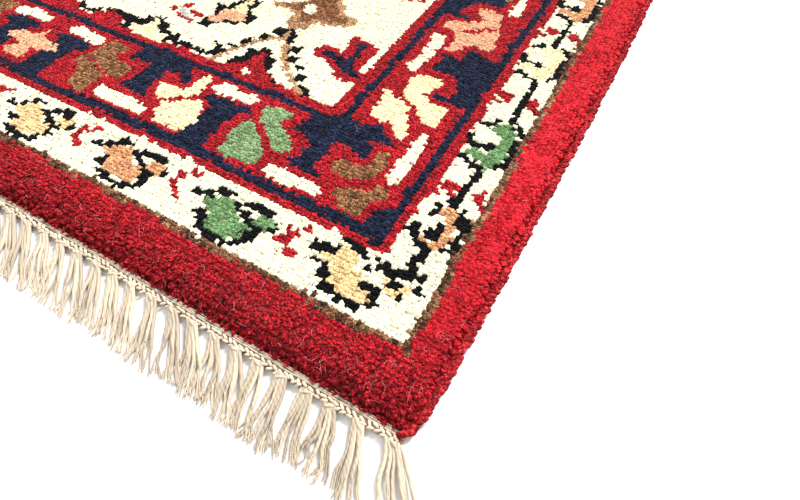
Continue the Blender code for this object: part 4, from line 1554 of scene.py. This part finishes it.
CORD_SPACING = (
    # share of the cord's length, how far neighbouring cords lie apart
    (0.00, 0.0010),
    (0.12, 0.0012),
    (0.35, 0.0018),
    (0.70, 0.0026),
    (1.00, 0.0033),
)
CORD_RISE = (
    # share of the cord's length, height over where it lies at its tip
    (0.00, 0.0022),
    (0.06, 0.0021),
    (0.14, 0.0012),
    (0.30, 0.0004),
    (1.00, 0.0000),
)
CORD_THINNING = (
    # share of the way to where the cord parts, share of its radius
    (0.00, 1.0),
    (0.84, 1.0),
    (1.00, 0.4),
)


def wandering(rng, amount):
    """A slow bend along a cord: its two waves' heights, counts and starts."""
    return [(amount * rng.normal(), 0.6 + 0.5 * rng.uniform(), FULL_TURN * rng.uniform()),
            (0.4 * amount * rng.normal(), 1.6 + rng.uniform(), FULL_TURN * rng.uniform())]


def cord_line(shares, group, end, offset, bends, lift):
    """Places along one cord of a group, at shares of its reach."""
    middle, shift, reach = group
    apart = read_off(CORD_SPACING, shares) * offset
    bend = sum(height * shares ** 0.7 * (np.sin(2 * math.pi * turns * shares + start) - math.sin(start))
               for height, turns, start in bends)
    x = middle + apart + bend + shift * shares * (1 + LEAN_EASING * (1 - shares))
    y = end_line(np.full_like(shares, middle), end, BAND_WIDTH - ROOT_INSIDE + (reach + ROOT_INSIDE) * shares)
    z = CORD_RADIUS + read_off(CORD_RISE, shares) + lift * np.sin(np.pi * shares) ** 2
    return np.stack([x, y, z], -1)


def whole_cord(route, parts_at, shade, rng):
    """A cord up to where it parts into strands: its places, radii and shade."""
    shares = np.linspace(0, parts_at, CORD_POINTS)
    thickness = CORD_RADIUS * read_off(CORD_THINNING, shares / parts_at)
    return cord_line(shares, *route), thickness * rng.uniform(*CORD_WIDTHS), shade


def frayed_strand(number, route, parts_at, shade, rng):
    """One strand, from a little before its cord parts to its own cut end: its places, radii and shade."""
    farthest, less = STRAND_ENDS
    shares = np.linspace(parts_at - STRAND_STARTS_BEFORE, farthest - less * rng.uniform(), STRAND_POINTS)
    line = cord_line(shares, *route)
    out = (shares - shares[0]) / (shares[-1] - shares[0])
    angle = 2 * math.pi * number / STRANDS_A_CORD + rng.uniform(0, 1)
    fray = rng.normal(0, STRAND_FRAY)
    curl = STRAND_CURL * np.sin(9 * out + FULL_TURN * rng.uniform())
    spread = (fray + STRAND_SPREAD * math.cos(angle)) * out ** 1.3
    line[:, 0] += STRAND_BESIDE * math.cos(angle) + spread + curl
    above = line[:, 2] + STRAND_BESIDE * math.sin(angle)
    tip = STRAND_RADIUS + STRAND_LOOSE * rng.uniform()
    line[:, 2] = np.maximum(above * (1 - out) + tip * out, STRAND_RADIUS)
    return line, STRAND_RADIUS * (1 - STRAND_THINNING * out), shade * rng.uniform(*STRAND_SHADES)


def root_knot(middle, lean, end, rng):
    """The cord that binds a group where it leaves the chain: its places, radii and shade."""
    turns = np.linspace(*KNOT_TURN, KNOT_POINTS)
    across = KNOT_HALF_WIDTH * np.cos(turns)
    slope = rng.choice((-KNOT_SLOPE, KNOT_SLOPE)) + rng.normal(0, KNOT_SLOPE_STRAY)
    x = middle + across + KNOT_LEANS_WITH * math.tan(lean)
    y = end_line(np.full_like(turns, middle), end, BAND_WIDTH - KNOT_INSIDE + slope * across)
    z = KNOT_HEIGHT + KNOT_HALF_HEIGHT * np.sin(turns)
    return np.stack([x, y, z], -1), np.full(KNOT_POINTS, KNOT_YARN), rng.uniform(*KNOT_SHADES)


def make_fringe(name, end, material, tree, rng):
    """Groups of twisted cords, knotted where they leave the chain, fraying into strands at their tips."""
    cords = []
    strands = []
    knots = []
    for number in range(GROUPS):
        middle = (number + 0.5) * GROUP_PITCH - BAND_HALF_LENGTH + rng.normal(0, GROUP_STRAY)
        lean = math.radians(read_off(LEAN, BAND_HALF_LENGTH - middle) + rng.normal(0, LEAN_STRAY))
        at_corner = number in (0, GROUPS - 1)
        if at_corner:
            middle += math.copysign(CORNER_GROUP_OUT, middle)
            lean += math.copysign(math.radians(CORNER_GROUP_LEAN), middle)
        group_reach = FRINGE_REACH * (1 - GROUP_SHORTER * rng.uniform())
        group_bends = wandering(rng, CORD_BEND)
        open_out = rng.uniform(*GROUP_OPENS) * (CORNER_GROUP_WIDER if at_corner else 1)
        for cord in range(CORDS_A_GROUP):
            reach = group_reach * (1 - CORD_SHORTER * rng.uniform())
            group = (middle, reach * math.tan(lean), reach)
            offset = (cord - (CORDS_A_GROUP - 1) / 2) * open_out + rng.normal(0, CORD_STRAY)
            bends = group_bends + wandering(rng, CORD_BEND)
            lift = rng.uniform(0, CORD_LIFT) + ODD_CORD_LIFT * (cord % 2)
            route = (group, end, offset, bends, lift)
            shade = rng.uniform(*CORD_SHADES)
            parts_at = rng.uniform(*PARTS_AT)
            cords.append(whole_cord(route, parts_at, shade, rng))
            for strand in range(STRANDS_A_CORD):
                strands.append(frayed_strand(strand, route, parts_at, shade, rng))
        knots.append(root_knot(middle, lean, end, rng))
    return [grown(lines_piece(f"{name}_{kind}", lines), tree, {"Material": material, "Sides": sides})
            for kind, lines, sides in (("cords", cords, 5), ("strands", strands, 4), ("knots", knots, 5))]


# Loose hairs
HAIRS = 1400
HAIR_POINTS = 4
HAIR_RADIUS = 0.000055
HAIR_CURL = 330
HAIR_STEP = (0.0013, 0.0027)
HAIR_RISE = 0.0009
HAIR_CLEARANCE = 0.0001
HAIR_SHADES = (0.55, 1.1)
HAIRS_ON_OUTER_BAND = 0.7
HAIR_INSET = (0.001, 0.032)
HAIRS_WITHIN = (0.99, 0.995)


def make_stray_hairs(rng, material, tree):
    """Curling hairs that lie on the pile, most of them on the red outer band."""
    lines = []
    for _ in range(HAIRS):
        x = rng.uniform(-1, 1) * PILE_HALF_WIDTH * HAIRS_WITHIN[0]
        y = rng.uniform(-1, 1) * PILE_HALF_LENGTH * HAIRS_WITHIN[1]
        if rng.uniform() < HAIRS_ON_OUTER_BAND:
            inset = rng.uniform(*HAIR_INSET)
            around = rng.uniform() * (PILE_HALF_WIDTH + PILE_HALF_LENGTH)
            if around < PILE_HALF_WIDTH:
                y = math.copysign(PILE_HALF_LENGTH - inset, y)
            else:
                x = math.copysign(PILE_HALF_WIDTH - inset, x)
        heading = rng.uniform(0, 2 * math.pi)
        curl = rng.normal(0, HAIR_CURL)
        step = rng.uniform(*HAIR_STEP)
        points = []
        for n in range(HAIR_POINTS):
            x += step * math.cos(heading)
            y += step * math.sin(heading)
            heading += curl * step
            x = min(max(x, -PILE_HALF_WIDTH), PILE_HALF_WIDTH)
            y = min(max(y, -PILE_HALF_LENGTH), PILE_HALF_LENGTH)
            lie_x, lie_y = as_it_lies(np.array([x]), np.array([y]))
            rise = HAIR_RISE * math.sin(math.pi * n / HAIR_POINTS)
            up = pile_height(np.array([x]), np.array([y]))[0] + rise
            points.append((lie_x[0], lie_y[0], up + HAIR_CLEARANCE))
        lines.append((points, [HAIR_RADIUS] * HAIR_POINTS, rng.uniform(*HAIR_SHADES)))
    return grown(lines_piece("stray_hairs", lines), tree, {"Material": material, "Sides": 3})


# The setting
FLOOR_HALF_SIZE = 30.0
FLOOR_SUNK = 0.0002
FLOOR_COLOUR = (0.92, 0.92, 0.92, 1.0)
DAYLIGHT = 0.76
LAMPS = (
    # name, place, what it points at, width, watts
    ("key", (2.4, 7.3, 7.2), (0.3, -0.5, 0.0), 3.9, 2250.0),
    ("fill", (-2.4, -1.2, 2.6), (0.2, -0.4, 0.0), 2.4, 34.0),
)
CAMERA_PLACE = (0.4728, -0.8072, 0.2505)
CAMERA_TURN = (33.4, 0.0, 29.2)
LENS = 20.79
SENSOR_WIDTH = 36.0
NEAREST_SEEN = 0.01


def make_floor():
    """A pale floor just below the rug."""
    half = FLOOR_HALF_SIZE
    floor = new_piece("floor", [(-half, -half, 0), (half, -half, 0), (half, half, 0), (-half, half, 0)],
                      faces=[(0, 1, 2, 3)])
    floor.location.z = -FLOOR_SUNK
    material, _, shader = new_material("pale_floor", 0.9, 0.0)
    shader.inputs["Base Color"].default_value = FLOOR_COLOUR
    floor.data.materials.append(material)


def make_lights():
    """Soft white light all round, a wide lamp behind the rug and a weak one before it."""
    world = bpy.data.worlds.new("soft_studio")
    bpy.context.scene.world = world
    world.use_nodes = True
    back = world.node_tree.nodes["Background"]
    back.inputs["Color"].default_value = (1.0, 1.0, 1.0, 1.0)
    back.inputs["Strength"].default_value = DAYLIGHT
    for name, place, target, width, watts in LAMPS:
        light = bpy.data.lights.new(name, "AREA")
        light.size = width
        light.energy = watts
        lamp = bpy.data.objects.new(name, light)
        lamp.location = place
        lamp.rotation_euler = Vector(np.subtract(target, place)).to_track_quat("-Z", "Y").to_euler()
        bpy.context.scene.collection.objects.link(lamp)
    bpy.context.scene.view_settings.view_transform = "Standard"


def make_camera():
    """Over the corner, as the photograph was taken."""
    lens = bpy.data.cameras.new("view")
    lens.lens = LENS
    lens.sensor_width = SENSOR_WIDTH
    lens.clip_start = NEAREST_SEEN
    camera = bpy.data.objects.new("view", lens)
    camera.location = CAMERA_PLACE
    camera.rotation_euler = [math.radians(turn) for turn in CAMERA_TURN]
    bpy.context.scene.collection.objects.link(camera)
    bpy.context.scene.camera = camera


def main():
    """Makes the camera and the rug's pieces in their materials, hides the model's parts that they replace,
    hangs them on the root body, and sets the floor and lights.
    """
    make_camera()
    rng = np.random.default_rng(SEED)
    yarn = drawn_chart(rng)
    fibres = fibre_group()
    ends = yarn_ends_group()
    pile_wool = pile_material(fibres, ends)
    knot_backs = foundation_material(fibres)
    overcast_wool = overcast_material(fibres, ends)
    weft_cotton = cotton_material("weft_cotton", fibres)
    fringe_cotton = cotton_material("cream_cotton", fibres)
    hair = hair_material()
    trees = {"yarns": yarn_tree(), "stitches": stitches_tree()}
    turns = turns_tree()

    pile = make_pile(rng, yarn, pile_wool)
    foundation = make_foundation(yarn, rng, knot_backs)
    bindings = []
    for side, node in ((-1, "side_overcast_left"), (1, "side_overcast_right")):
        wound, cord = make_overcast(side, overcast_wool, turns)
        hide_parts(node)
        bindings += [wound, cord]
    finished_ends = []
    for name, end, node in (("end_near", -1, "fringe_near"), ("end_far", 1, "fringe_far")):
        woven = make_end_band(name, end, (weft_cotton, fringe_cotton), trees, rng)
        fringe = make_fringe(name, end, fringe_cotton, trees["yarns"], rng)
        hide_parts(node)
        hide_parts(node)
        finished_ends += [*woven, *fringe]
    hairs = make_stray_hairs(rng, hair, trees["yarns"])
    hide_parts("pile_carpet")
    for strip in pile:
        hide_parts("pile_carpet")

    for piece in (*pile, hairs, foundation, *bindings, *finished_ends):
        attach(piece, "root")
    make_floor()
    make_lights()


main()
